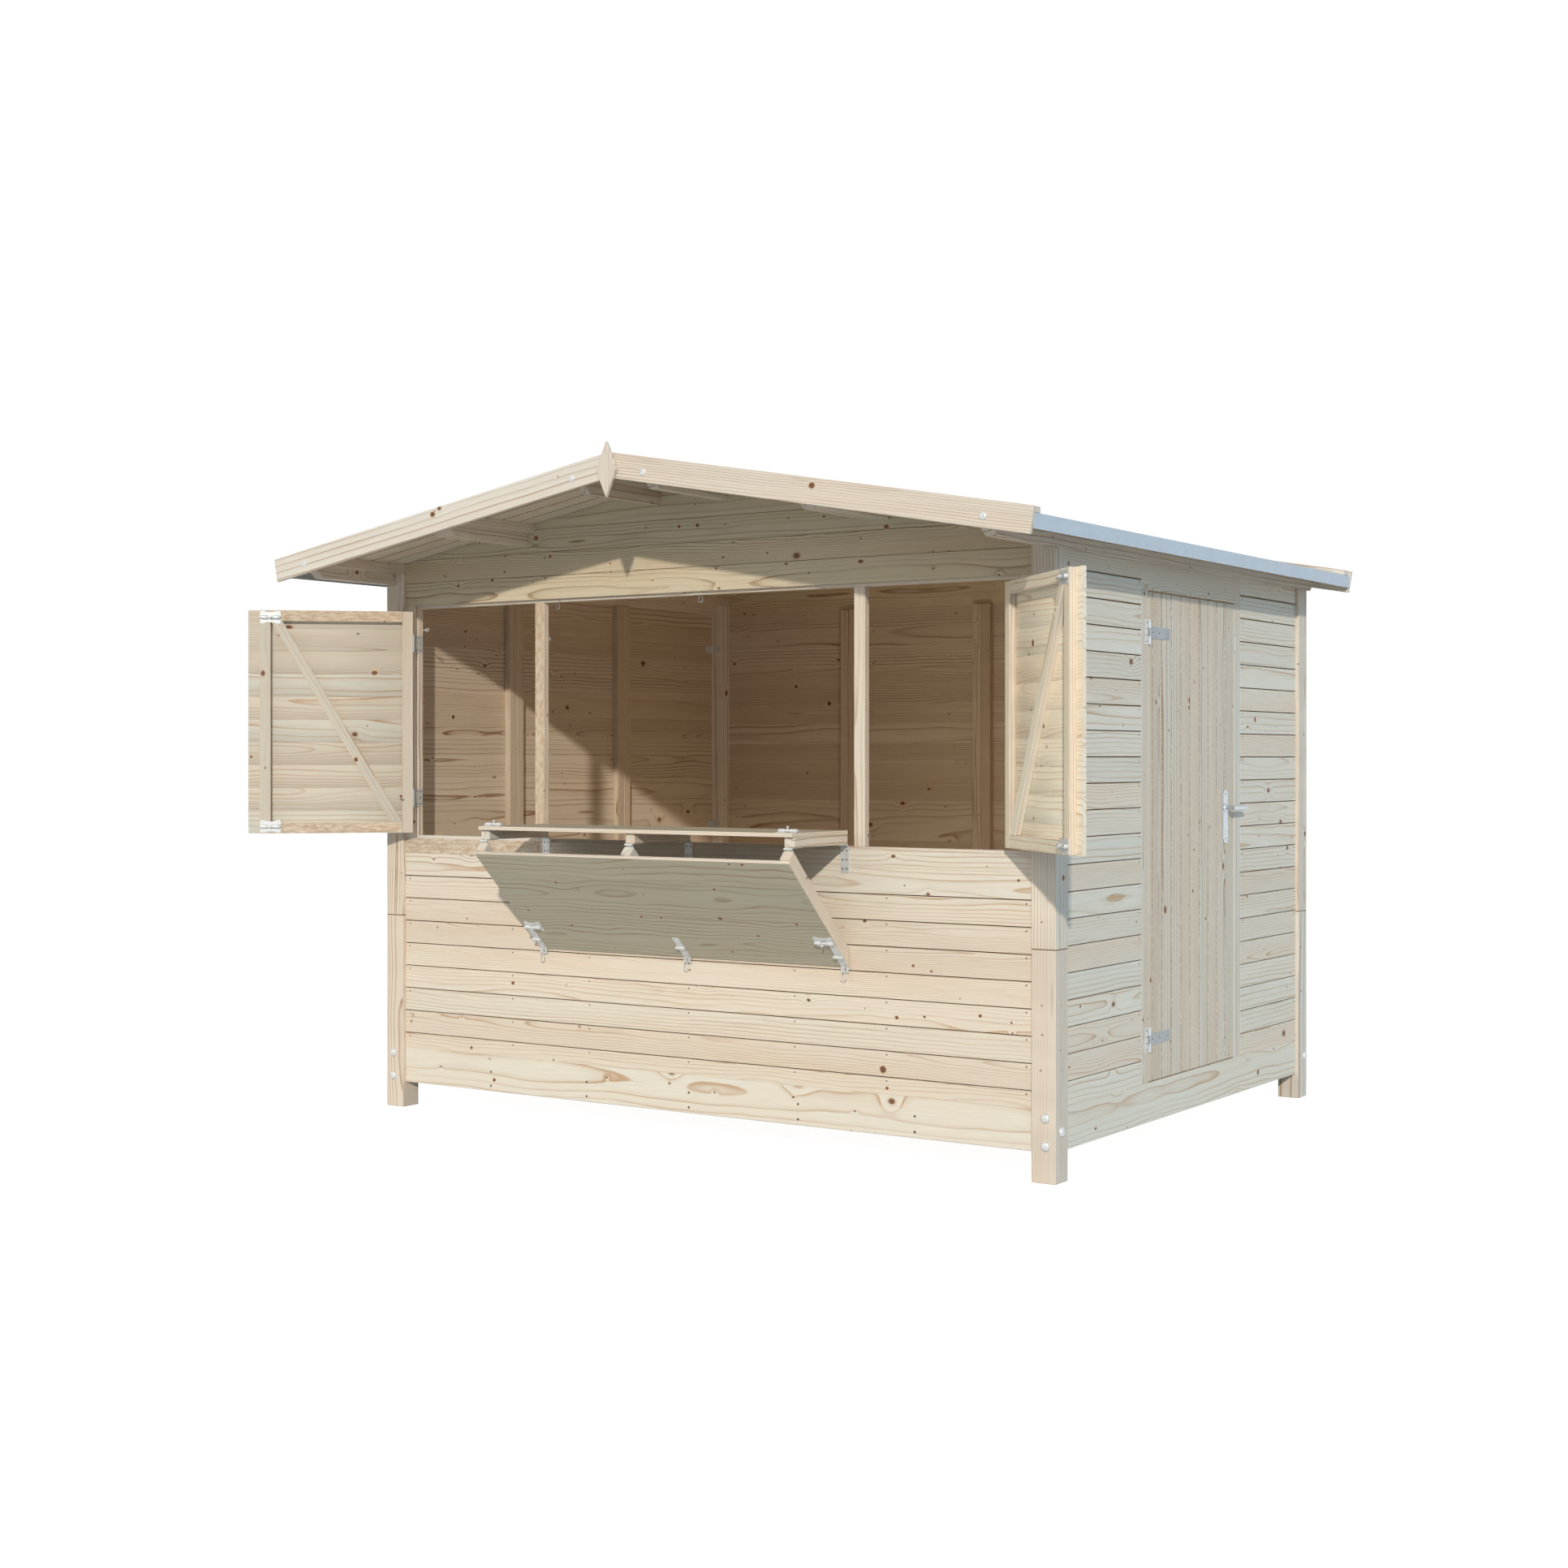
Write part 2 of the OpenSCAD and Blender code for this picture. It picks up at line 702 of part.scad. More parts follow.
// The moving leaf on the shutter's edge, with its knuckle
module shutter_hinge() for (z = shutter_hinges) translate([0, 0, z]) {
    moving_knuckle(butt_length);
    block([shutter_edge - leaf_thick, 0, -butt_length / 6], [shutter_edge, pin_offset + 1, butt_length / 6]);
    block([shutter_edge - leaf_thick, pin_offset, -butt_length / 2],
        [shutter_edge, pin_offset + shutter_board + shutter_batten - 4, butt_length / 2]);
}

module at_right_shutter() mirror([1, 0, 0]) at_left_shutter() children();

module left_shutter_boards() color(spruce) in_plan() at_left_shutter() shutter_boards();

module left_shutter_frame() color(spruce_dark) in_plan() at_left_shutter() shutter_frame();

module left_shutter_hinges() color(zinc) in_plan() at_left_shutter() shutter_hinge();

module right_shutter_boards() color(spruce) in_plan() at_right_shutter() shutter_boards();

module right_shutter_frame() color(spruce_dark) in_plan() at_right_shutter() shutter_frame();

module right_shutter_hinges() color(zinc) in_plan() at_right_shutter() shutter_hinge();

// The fixed leaves on the jambs
module jamb_leaves() both_sides() for (z = shutter_hinges) {
    translate([shutter_pin_x, shutter_pin_y, z]) {
        fixed_knuckles(butt_length);
        back = frame_face - shutter_pin_y;
        outer = pin_to_leaf + leaf_thick;
        for (start = [-butt_length / 2, butt_length / 6 + knuckle_play]) {
            block([pin_to_leaf, 0, start], [outer, back, start + butt_length / 3 - knuckle_play]);
        }
        block([pin_to_leaf, pin_offset + leaf_thick, -butt_length / 2], [outer, back, butt_length / 2]);
        block([pin_to_leaf, back - leaf_thick, -butt_length / 2],
            [pin_to_leaf + jamb_show, back, butt_length / 2]);
    }
}

// Counter, level at rest

// A hinge knuckle whose pin lies along X
module lying() rotate([0, 90, 0]) children();

module counter_sheet() color(spruce) in_plan() {
    low = counter_under + counter_batten;
    block([-hatch_half, flap_pin_y - counter_nose, low],
        [hatch_half, counter_pin_y - hinge_end, low + sheet_thick]);
}

module counter_battens() color(spruce) in_plan() for (x = hatch_battens) {
    block([x - counter_batten_width / 2, flap_pin_y + hinge_end, counter_under],
        [x + counter_batten_width / 2, counter_pin_y - hinge_end, counter_under + counter_batten]);
}

// Leaves under the battens: a middle knuckle at the wall, outer knuckles at the flap
module counter_hinges() color(zinc) in_plan() for (x = hatch_battens) {
    third = strap_width / 6;
    top = counter_pin_z + hatch_skin;
    translate([x, counter_pin_y, counter_pin_z]) lying() moving_knuckle(strap_width);
    block([x - third, counter_pin_y - hinge_end - 1, top - leaf_thick], [x + third, counter_pin_y, top]);
    block([x - strap_width / 2, counter_pin_y - hinge_end - batten_leaf, top - leaf_thick],
        [x + strap_width / 2, counter_pin_y - hinge_end, top]);
    translate([x, flap_pin_y, counter_pin_z]) lying() fixed_knuckles(strap_width);
    for (side = [-1, 1]) {
        low = side < 0 ? -strap_width / 2 : third + knuckle_play;
        block([x + low, flap_pin_y, top - leaf_thick],
            [x + low + strap_width / 3 - knuckle_play, flap_pin_y + hinge_end + 1, top]);
    }
    block([x - strap_width / 2, flap_pin_y + hinge_end, top - leaf_thick],
        [x + strap_width / 2, flap_pin_y + hinge_end + batten_leaf, top]);
}

// The fixed leaves on the front of the sill board
module wall_straps() for (x = hatch_battens) {
    third = strap_width / 6;
    translate([x, counter_pin_y, counter_pin_z]) lying() fixed_knuckles(strap_width);
    for (side = [-1, 1]) {
        low = side < 0 ? -strap_width / 2 : third + knuckle_play;
        block([x + low, counter_pin_y, counter_pin_z - leaf_thick],
            [x + low + strap_width / 3 - knuckle_play, wall_face, counter_pin_z]);
    }
    block([x - strap_width / 2, wall_face - leaf_thick, counter_pin_z - strap_length],
        [x + strap_width / 2, wall_face, counter_pin_z]);
}

module fixed_hinge_leaves() color(zinc) in_plan() {
    door_hinge_plates();
    jamb_leaves();
    wall_straps();
}

// Flap, in a frame that starts at its pin: along the flap, then away from its back

module at_flap() translate([0, flap_pin_y, counter_pin_z]) rotate([-flap_fold, 0, 0]) children();

// Where the plumb cut at the foot meets a line at some distance from the flap's back
function flap_end(t) = (flap_reach + t * sin(flap_fold)) / cos(flap_fold);

module flap_slice(start, near, far) polygon([
    [start, -near], [flap_end(near), -near], [flap_end(far), -far], [start, -far]
]);

module flap_sheet() color(spruce) in_plan() at_flap() along_x(-hatch_half, hatch_half) {
    flap_slice(counter_nose + sheet_gap, hatch_skin + flap_batten, flap_thick);
}

module flap_battens() color(spruce) in_plan() at_flap() for (x = hatch_battens) {
    along_x(x - counter_batten_width / 2, x + counter_batten_width / 2) {
        flap_slice(hinge_end, hatch_skin, hatch_skin + flap_batten);
    }
}

module flap_hinges() color(zinc) in_plan() at_flap() for (x = hatch_battens) {
    third = strap_width / 6;
    translate([x, 0, 0]) lying() moving_knuckle(strap_width);
    block([x - third, 0, -hatch_skin], [x + third, hinge_end + 1, leaf_thick - hatch_skin]);
    block([x - strap_width / 2, hinge_end, -hatch_skin],
        [x + strap_width / 2, hinge_end + batten_leaf, leaf_thick - hatch_skin]);
}

post_bases();
corner_posts();
bearers();
floor_joists();
floor_boards();
front_wall();
sill_board();
front_side_boards();
front_gable();
opening_rails();
opening_jambs();
mullions();
rear_wall();
rear_gable();
left_wall();
right_wall_front();
right_wall_rear();
right_wall_over_door();
door_jambs();
wall_studs();
eave_purlins();
roof_purlins();
roof_boards();
roof_cover();
eave_trims();
bargeboards();
edge_strips();
gable_diamonds();
fixed_hinge_leaves();
door_boards();
door_ledges();
door_hinge_straps();
door_handle();
left_shutter_boards();
left_shutter_frame();
left_shutter_hinges();
right_shutter_boards();
right_shutter_frame();
right_shutter_hinges();
counter_sheet();
counter_battens();
counter_hinges();
flap_sheet();
flap_battens();
flap_hinges();
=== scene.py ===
import json
import math
import random
import zlib

import bpy
import bmesh
from mathutils import Matrix, Vector

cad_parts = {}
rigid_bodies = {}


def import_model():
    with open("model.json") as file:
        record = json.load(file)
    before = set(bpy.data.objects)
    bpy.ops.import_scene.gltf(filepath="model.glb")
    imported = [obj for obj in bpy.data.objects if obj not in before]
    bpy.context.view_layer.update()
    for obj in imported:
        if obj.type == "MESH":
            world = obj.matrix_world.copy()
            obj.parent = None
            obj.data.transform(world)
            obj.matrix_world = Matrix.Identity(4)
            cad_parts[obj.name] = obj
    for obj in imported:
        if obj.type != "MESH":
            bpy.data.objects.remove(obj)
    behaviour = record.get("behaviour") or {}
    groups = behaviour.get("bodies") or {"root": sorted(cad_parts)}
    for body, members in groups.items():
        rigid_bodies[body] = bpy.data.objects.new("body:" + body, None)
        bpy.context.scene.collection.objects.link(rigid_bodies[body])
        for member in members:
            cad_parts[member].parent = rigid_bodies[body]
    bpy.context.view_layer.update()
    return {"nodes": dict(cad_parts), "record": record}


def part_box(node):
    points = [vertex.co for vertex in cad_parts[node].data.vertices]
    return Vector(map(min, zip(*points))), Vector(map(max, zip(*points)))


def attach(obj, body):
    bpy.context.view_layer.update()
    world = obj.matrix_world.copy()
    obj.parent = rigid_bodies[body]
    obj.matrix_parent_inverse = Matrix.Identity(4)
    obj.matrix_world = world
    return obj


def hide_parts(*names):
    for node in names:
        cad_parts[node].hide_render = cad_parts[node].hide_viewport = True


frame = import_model()
scene = bpy.context.scene
X, Y, Z = Vector((1, 0, 0)), Vector((0, 1, 0)), Vector((0, 0, 1))
SIDES = (-1, 1)


# Colours

def srgb(red, green, blue):
    """A colour as the eye names it, in linear light."""
    parts = [c / 255 for c in (red, green, blue)]
    return [c / 12.92 if c <= 0.04045 else ((c + 0.055) / 1.055) ** 2.4 for c in parts] + [1]


# Shader nodes

class Bench:
    """A node tree with short ways to add and wire its nodes."""

    def __init__(self, tree):
        self.tree = tree

    def put(self, socket, value):
        if isinstance(value, bpy.types.NodeSocket):
            self.tree.links.new(value, socket)
        else:
            socket.default_value = value

    def add(self, kind, *values, **settings):
        """A node with some settings, its inputs filled in their own order."""
        node = self.tree.nodes.new("ShaderNode" + kind)
        for name, value in settings.items():
            setattr(node, name, value)
        for socket, value in zip(node.inputs, values):
            self.put(socket, value)
        return node

    def math(self, operation, *values):
        return self.add("Math", *values, operation=operation).outputs[0]

    def times(self, first, second):
        return self.math("MULTIPLY", first, second)

    def over(self, first, second):
        return self.math("DIVIDE", first, second)

    def plus(self, first, second):
        return self.math("ADD", first, second)

    def less(self, first, second):
        return self.math("SUBTRACT", first, second)

    def line(self, value, slope, start):
        return self.math("MULTIPLY_ADD", value, slope, start)

    def square(self, value):
        return self.math("POWER", value, 2.0)

    def length(self, first, second):
        return self.math("SQRT", self.plus(self.square(first), self.square(second)))

    def vector(self, operation, *values):
        return self.add("VectorMath", *values, operation=operation).outputs["Vector"]

    def split(self, value):
        return self.add("SeparateXYZ", value).outputs

    def pack(self, *values):
        return self.add("CombineXYZ", *values).outputs[0]

    def mark(self, name, output):
        """What a piece's own attribute says."""
        return self.add("Attribute", attribute_name=name).outputs[output]

    def noise(self, place, scale=1.0, detail=2.0, rough=0.5):
        unused_w = 0.0
        return self.add("TexNoise", place, unused_w, scale, detail, rough).outputs["Fac"]

    def cells(self, place, scale=1.0, dimensions="2D"):
        unused_w = 0.0
        return self.add("TexVoronoi", place, unused_w, scale, voronoi_dimensions=dimensions).outputs

    def step(self, value, low, high, to_low=0.0, to_high=1.0):
        return self.add("MapRange", value, low, high, to_low, to_high, interpolation_type="SMOOTHSTEP").outputs[0]

    def mix(self, share, first, second, way="MIX"):
        node = self.add("Mix", share, data_type="RGBA", blend_type=way)
        self.put(node.inputs[6], first)
        self.put(node.inputs[7], second)
        return node.outputs[2]

    def profile(self, value, stops):
        node = self.add("ValToRGB", value)
        ramp = node.color_ramp
        while len(ramp.elements) < len(stops):
            ramp.elements.new(0.5)
        for element, (place, height) in zip(ramp.elements, stops):
            element.position = place
            element.color = (height, height, height, 1)
        return node.outputs[0]


def shader_group(name, inputs, outputs):
    """An empty node group with the sockets of each kind."""
    tree = bpy.data.node_groups.new(name, "ShaderNodeTree")
    for way, sockets in (("INPUT", inputs), ("OUTPUT", outputs)):
        for kind, labels in sockets.items():
            for label in labels:
                tree.interface.new_socket(label, in_out=way, socket_type="NodeSocket" + kind)
    return Bench(tree), tree.nodes.new("NodeGroupInput").outputs, tree.nodes.new("NodeGroupOutput").inputs


def knot_group():
    """Knots scattered over a board: how dark they are, their own rings and how far they push the grain."""
    bench, source, sink = shader_group(
        "Scattered knots",
        {"Float": ("Along", "Across", "Shift", "Reach along", "Reach across", "Share", "Small", "Large")},
        {"Float": ("Core", "Ring", "Push")})
    times, line = bench.times, bench.line
    spot = bench.pack(line(source["Along"], source["Reach along"], times(source["Shift"], 37.0)),
                      line(source["Across"], source["Reach across"], times(source["Shift"], 61.0)), 0.0)
    cell = bench.cells(spot)
    chance = bench.split(cell["Color"])
    offset = bench.split(bench.vector("SUBTRACT", spot, cell["Position"]))
    along = times(bench.over(offset[0], source["Reach along"]), 0.75)
    across = bench.over(offset[1], source["Reach across"])
    size = line(chance[1], bench.less(source["Large"], source["Small"]), source["Small"])
    there = bench.math("LESS_THAN", chance[0], source["Share"])
    near = bench.over(bench.length(along, across), size)
    hill = bench.math("EXPONENT", times(bench.square(times(near, 0.27)), -1.0))
    bench.put(sink["Core"], times(bench.step(near, 1.15, 0.8), there))
    bench.put(sink["Ring"], times(bench.step(near, 2.0, 1.0), there))
    bench.put(sink["Push"], times(times(hill, size), there))
    return bench.tree


def grain_group(knots):
    """Spruce cut along the trunk: growth rings about a pith line that wanders under each board."""
    bench, source, sink = shader_group(
        "Spruce grain",
        {"Vector": ["Grain"], "Float": ("Board", "Ring width", "Wander", "Knots"), "Color": ("Pale", "Warm", "Line")},
        {"Color": ["Color"], "Float": ("Roughness", "Height")})
    times, plus, less, line = bench.times, bench.plus, bench.less, bench.line
    along, across, through = bench.split(source["Grain"])
    slanted = line(through, 0.8, across)
    board = source["Board"]
    far = times(board, 53.0)
    dice = bench.add("TexWhiteNoise", noise_dimensions="1D")
    bench.put(dice.inputs["W"], times(board, 913.7))
    first, second, third = bench.split(dice.outputs["Color"])

    def wander(scale_along, scale_across, start):
        place = bench.pack(line(along, scale_along, far), line(across, scale_across, start), through)
        return less(bench.noise(place, 1.0, 2.0, 0.45), 0.5)

    def scattered(reach_along, reach_across, share, small, large):
        return bench.add("Group", along, slanted, board, reach_along, reach_across, times(source["Knots"], share),
                         small, large, node_tree=knots).outputs

    # Knots, and the pith that the rings lie about
    big = scattered(1.9, 7.0, 0.3, 0.004, 0.0115)
    pins = scattered(3.6, 14.0, 0.28, 0.0018, 0.0040)
    pith_side = times(less(first, 0.5), 0.17)
    pith_deep = line(second, 0.055, 0.006)
    lean = times(less(third, 0.5), 0.035)
    slow = times(wander(1.15, 3.0, 0.0), source["Wander"])
    sway = times(wander(2.3, 4.0, 9.0), times(source["Wander"], 0.55))
    deep = plus(plus(through, pith_deep), line(along, lean, slow))
    side = plus(less(across, pith_side), sway)
    pushed = plus(line(big["Push"], 2.2, bench.length(deep, side)), times(pins["Push"], 1.2))

    # Rings, pale to dark and then sharply pale again
    ring_width = times(source["Ring width"], line(bench.square(third), 1.9, 0.55))
    fine = times(wander(9.0, 60.0, 4.0), 0.0016)
    phase = bench.math("FRACT", bench.over(plus(pushed, fine), ring_width))
    late = bench.profile(phase, [(0.0, 0.06), (0.08, 0.0), (0.55, 0.03), (0.8, 0.26), (0.92, 1.0), (0.97, 0.9),
                                 (1.0, 0.06)])
    late = times(late, bench.step(wander(0.8, 16.0, 21.0), -0.2, 0.2, 0.3, 1.0))

    # Colour: heart or sapwood, late wood, fibres, knots
    fibre = wander(7.0, 420.0, 2.0)
    patch = bench.step(wander(1.1, 11.0, 33.0), -0.18, 0.2)
    heart = line(bench.step(third, 0.6, 0.35), 0.65, times(patch, 0.35))
    colour = bench.mix(heart, source["Pale"], source["Warm"])
    colour = bench.mix(times(late, 0.95), colour, source["Line"])
    streak = times(line(fibre, 0.3, 1.0), line(less(second, 0.5), 0.1, 1.0))
    colour = bench.mix(1.0, colour, bench.pack(streak, streak, streak), "MULTIPLY")
    brown = bench.math("MAXIMUM", times(big["Ring"], 0.38), times(pins["Ring"], 0.3))
    colour = bench.mix(brown, colour, srgb(176, 122, 74))
    core = bench.math("MAXIMUM", times(big["Core"], 0.9), times(pins["Core"], 0.85))
    speckle = bench.step(bench.noise(bench.pack(times(along, 300.0), times(across, 300.0), far)), 0.35, 0.65)
    colour = bench.mix(core, colour, bench.mix(speckle, srgb(132, 84, 48), srgb(62, 40, 26)))
    bench.put(sink["Color"], colour)
    bench.put(sink["Roughness"], plus(line(late, -0.08, 0.62), times(fibre, 0.2)))
    bench.put(sink["Height"], less(line(fibre, 0.35, times(late, 0.5)), times(core, 0.8)))
    return bench.tree


# Materials

def blank(name):
    material = bpy.data.materials.new(name)
    material.use_nodes = True
    return material, Bench(material.node_tree)


def coat(material, colour, rough, bump=None, others=()):
    """Finishes a material with a colour, a roughness and a bump, as its height, distance and strength."""
    bench = Bench(material.node_tree)
    inputs = [("Base Color", colour), ("Roughness", rough), *others]
    if bump:
        relief = bench.add("Bump")
        for label, value in zip(("Height", "Distance", "Strength"), bump):
            bench.put(relief.inputs[label], value)
        inputs.append(("Normal", relief.outputs[0]))
    for label, value in inputs:
        bench.put(material.node_tree.nodes["Principled BSDF"].inputs[label], value)
    return material


def spruce(name, pale, warm, line, ring=0.0105, wander=0.05, knots=1.0, torn=False):
    """Spruce with its own colours; torn gives the mottled face that a blunt saw leaves."""
    material, bench = blank(name)
    run = bench.mark("grain", "Vector")
    wood = bench.add("Group", run, bench.mark("board", "Fac"), ring, wander, knots,
                     *[srgb(*c) for c in (pale, warm, line)], node_tree=SPRUCE).outputs
    colour, height = wood["Color"], wood["Height"]
    if torn:
        blotch = bench.noise(bench.vector("MULTIPLY", run, (30.0, 110.0, 60.0)), 1.0, 3.0, 0.6)
        flecks = bench.step(bench.noise(bench.vector("MULTIPLY", run, (160.0, 420.0, 300.0))), 0.4, 0.65)
        share = bench.line(bench.step(blotch, 0.36, 0.66), 0.75, bench.times(flecks, 0.2))
        colour = bench.mix(share, colour, srgb(190, 162, 132))
        height = bench.line(flecks, -1.5, height)
    return coat(material, colour, wood["Roughness"], (height, 0.0006, 0.5), [("Specular IOR Level", 0.3)])


def plywood_edge():
    """Pale plies with a darker glue line between them, through the sheet's thickness."""
    material, bench = blank("Plywood edge")
    run = bench.mark("grain", "Vector")
    ply = bench.math("FRACT", bench.over(bench.split(run)[2], 0.0047))
    line = bench.step(bench.math("ABSOLUTE", bench.less(ply, 0.5)), 0.12, 0.3)
    fibre = bench.noise(bench.vector("MULTIPLY", run, (40.0, 40.0, 900.0)), 1.0, 3.0)
    colour = bench.mix(line, srgb(206, 172, 146), srgb(244, 238, 224))
    colour = bench.mix(bench.times(fibre, 0.3), colour, srgb(214, 196, 170))
    return coat(material, colour, bench.line(fibre, 0.2, 0.55), (fibre, 0.0003, 0.4))


def dashed_groove():
    """Brown dashes along a shallow groove, as a fluted cutter leaves them."""
    material, bench = blank("Dashed door groove")
    run = bench.vector("MULTIPLY", bench.mark("grain", "Vector"), (95.0, 20.0, 20.0))
    dash = bench.step(bench.noise(run, 1.0, 1.0), 0.40, 0.54)
    colour = bench.mix(dash, srgb(206, 186, 160), srgb(126, 86, 52))
    return coat(material, colour, bench.line(dash, 0.1, 0.6), (dash, 0.0004, 0.5))


def galvanised(name, bright, dull, metal, rough):
    """Zinc in flakes, clouded."""
    material, bench = blank(name)
    place = bench.add("TexCoord").outputs["Object"]
    flakes = bench.split(bench.cells(place, 160.0, "3D")["Color"])[0]
    cloud = bench.noise(place, 14.0, 4.0)
    share = bench.line(flakes, 0.4, bench.times(cloud, 0.6))
    colour = bench.mix(share, srgb(*bright), srgb(*dull))
    return coat(material, colour, bench.line(share, 0.16, rough), (cloud, 0.0004, 0.25), [("Metallic", metal)])


def roofing_felt():
    material, bench = blank("Mineral roofing felt")
    place = bench.add("TexCoord").outputs["Object"]
    grit = bench.noise(place, 900.0, 2.0, 0.7)
    cloud = bench.noise(place, 3.0, 4.0)
    colour = bench.mix(bench.step(grit, 0.3, 0.7), srgb(92, 97, 101), srgb(140, 145, 148))
    colour = bench.mix(bench.times(cloud, 0.35), colour, srgb(110, 112, 112))
    return coat(material, colour, bench.line(grit, 0.15, 0.8), (grit, 0.0012, 0.7))


def knot_material():
    """Ragged rings from a dark heart out to pale wood."""
    material, bench = blank("Loose brown knots")
    spread = bench.mark("spread", "Fac")
    place = bench.add("TexCoord").outputs["Object"]
    ragged = bench.line(bench.less(bench.noise(place, 220.0, 3.0), 0.5), 0.7, spread)
    rings = bench.math("SINE", bench.times(ragged, 22.0))
    heart = bench.mix(bench.step(rings, -0.4, 0.8), srgb(64, 42, 28), srgb(128, 86, 54))
    colour = bench.mix(bench.step(ragged, 0.45, 0.72), heart, srgb(172, 122, 80))
    colour = bench.mix(bench.step(ragged, 0.66, 0.98), colour, srgb(226, 208, 184))
    return coat(material, colour, bench.line(spread, 0.15, 0.5), (rings, 0.0003, 0.4))


# Colours of each spruce: pale wood, warm wood and the late wood's line
SPRUCE = grain_group(knot_group())
board_spruce = spruce("Planed spruce boards", (230, 224, 211), (232, 216, 197), (190, 151, 110))
beam_spruce = spruce("Planed spruce timber", (228, 222, 211), (228, 213, 196), (164, 120, 80), 0.014, 0.03)
gable_spruce = spruce("Gable boards", (216, 206, 181), (211, 193, 164), (138, 98, 62), knots=1.5)
door_spruce = spruce("Door boards", (226, 215, 199), (223, 206, 185), (154, 113, 75), 0.013)
left_shutter_spruce = spruce("Left shutter boards", (213, 209, 196), (214, 201, 184), (180, 138, 98), knots=0.8)
# Painted light: a lighter copy of the board spruce for the right shutter's inner faces, for the bounce light on them
right_shutter_lit_spruce = spruce("Right shutter boards", (246, 238, 216), (248, 230, 202), (206, 163, 116), knots=0.8)
torn_spruce = spruce("Rough sawn spruce", (226, 217, 200), (226, 208, 186), (198, 160, 122), torn=True)
# Painted shade: a dark copy of the spruce for the faces inside the grooves, where shade falls
groove_shade_spruce = spruce("Groove between boards", (158, 132, 102), (142, 114, 84), (112, 84, 58), knots=0.0)
floor_spruce = spruce("Floor spruce", (228, 214, 190), (220, 200, 170), (180, 146, 108))
inner_spruce = spruce("Inner face of the boards", (210, 195, 175), (202, 183, 160), (132, 90, 55), knots=0.9)
sheet_spruce = spruce("Counter sheet veneer", (195, 190, 172), (187, 177, 153), (146, 113, 78), 0.013, 0.17)
ply_edge = plywood_edge()
dashed_stain = dashed_groove()
zinc_hinge = galvanised("Galvanised hinge plate", (224, 225, 224), (200, 202, 202), 0.3, 0.32)
zinc_strap = galvanised("Galvanised door strap", (178, 180, 181), (150, 153, 155), 0.3, 0.34)
zinc_trim = galvanised("Galvanised eave trim", (190, 199, 207), (174, 184, 194), 0.35, 0.34)
lever_metal = galvanised("Brushed lever metal", (206, 209, 214), (180, 184, 190), 0.9, 0.22)
screw_steel = galvanised("Screw heads", (112, 108, 102), (74, 70, 66), 0.6, 0.35)
nail_steel = galvanised("Nail heads", (104, 88, 74), (66, 54, 44), 0.3, 0.5)
felt = roofing_felt()
knot_wood = knot_material()


# Joinery

def clear():
    """Leaves editing, with nothing selected."""
    if bpy.context.mode != "OBJECT":
        bpy.ops.object.mode_set(mode="OBJECT")
    bpy.ops.object.select_all(action="DESELECT")


def only(piece):
    clear()
    piece.hide_set(False)
    piece.select_set(True)
    bpy.context.view_layer.objects.active = piece


def begin(kind, name, **how):
    """Adds a starting shape with nothing else selected, its size and place in the mesh."""
    clear()
    getattr(bpy.ops.mesh, "primitive_" + kind + "_add")(**how)
    piece = bpy.context.object
    piece.name = piece.data.name = name
    bpy.ops.object.transform_apply(location=True, rotation=True, scale=True)
    return piece


def modify(piece, kind, **settings):
    only(piece)
    modifier = piece.modifiers.new(kind.title(), kind)
    for name, value in settings.items():
        setattr(modifier, name, value)
    bpy.ops.object.modifier_apply(modifier=modifier.name)


def cut_away(piece, cutter):
    modify(piece, "BOOLEAN", operation="DIFFERENCE", solver="EXACT", object=cutter)
    bpy.data.objects.remove(cutter)


def chamfer(piece, width, angle=0.5, segments=1):
    """Breaks every edge sharper than an angle."""
    modify(piece, "BEVEL", width=width, limit_method="ANGLE", angle_limit=angle, segments=segments)


def edit(piece, mode, test):
    """Opens a piece for editing with only the vertices, edges or faces that pass a test selected."""
    only(piece)
    mesh = piece.data
    kinds = {"vertices": mesh.vertices, "edges": mesh.edges, "faces": mesh.polygons}
    for kind, items in kinds.items():
        for item in items:
            item.select = kind == mode and test(item)
    bpy.context.tool_settings.mesh_select_mode = [kind == mode for kind in kinds]
    bpy.ops.object.mode_set(mode="EDIT")


def from_solid(node, name):
    """A copy of a solid with its triangles merged into whole faces."""
    mesh = frame["nodes"][node].data.copy()
    mesh.materials.clear()
    piece = bpy.data.objects.new(name, mesh)
    scene.collection.objects.link(piece)
    edit(piece, "faces", lambda face: True)
    bpy.ops.mesh.select_all(action="SELECT")
    bpy.ops.mesh.remove_doubles(threshold=1e-5)
    bpy.ops.mesh.dissolve_limited(angle_limit=math.radians(0.2))
    clear()
    return piece


def saw(piece, across, places):
    """Cuts a piece into boards, each closed again at the cut."""
    only(piece)
    bpy.ops.object.mode_set(mode="EDIT")
    for place in places:
        bpy.ops.mesh.select_all(action="SELECT")
        bpy.ops.mesh.bisect(plane_co=across * place, plane_no=across, threshold=1e-6)
        bpy.ops.mesh.edge_split(type="EDGE")
    bpy.ops.mesh.select_all(action="SELECT")
    bpy.ops.mesh.fill_holes(sides=0)
    clear()


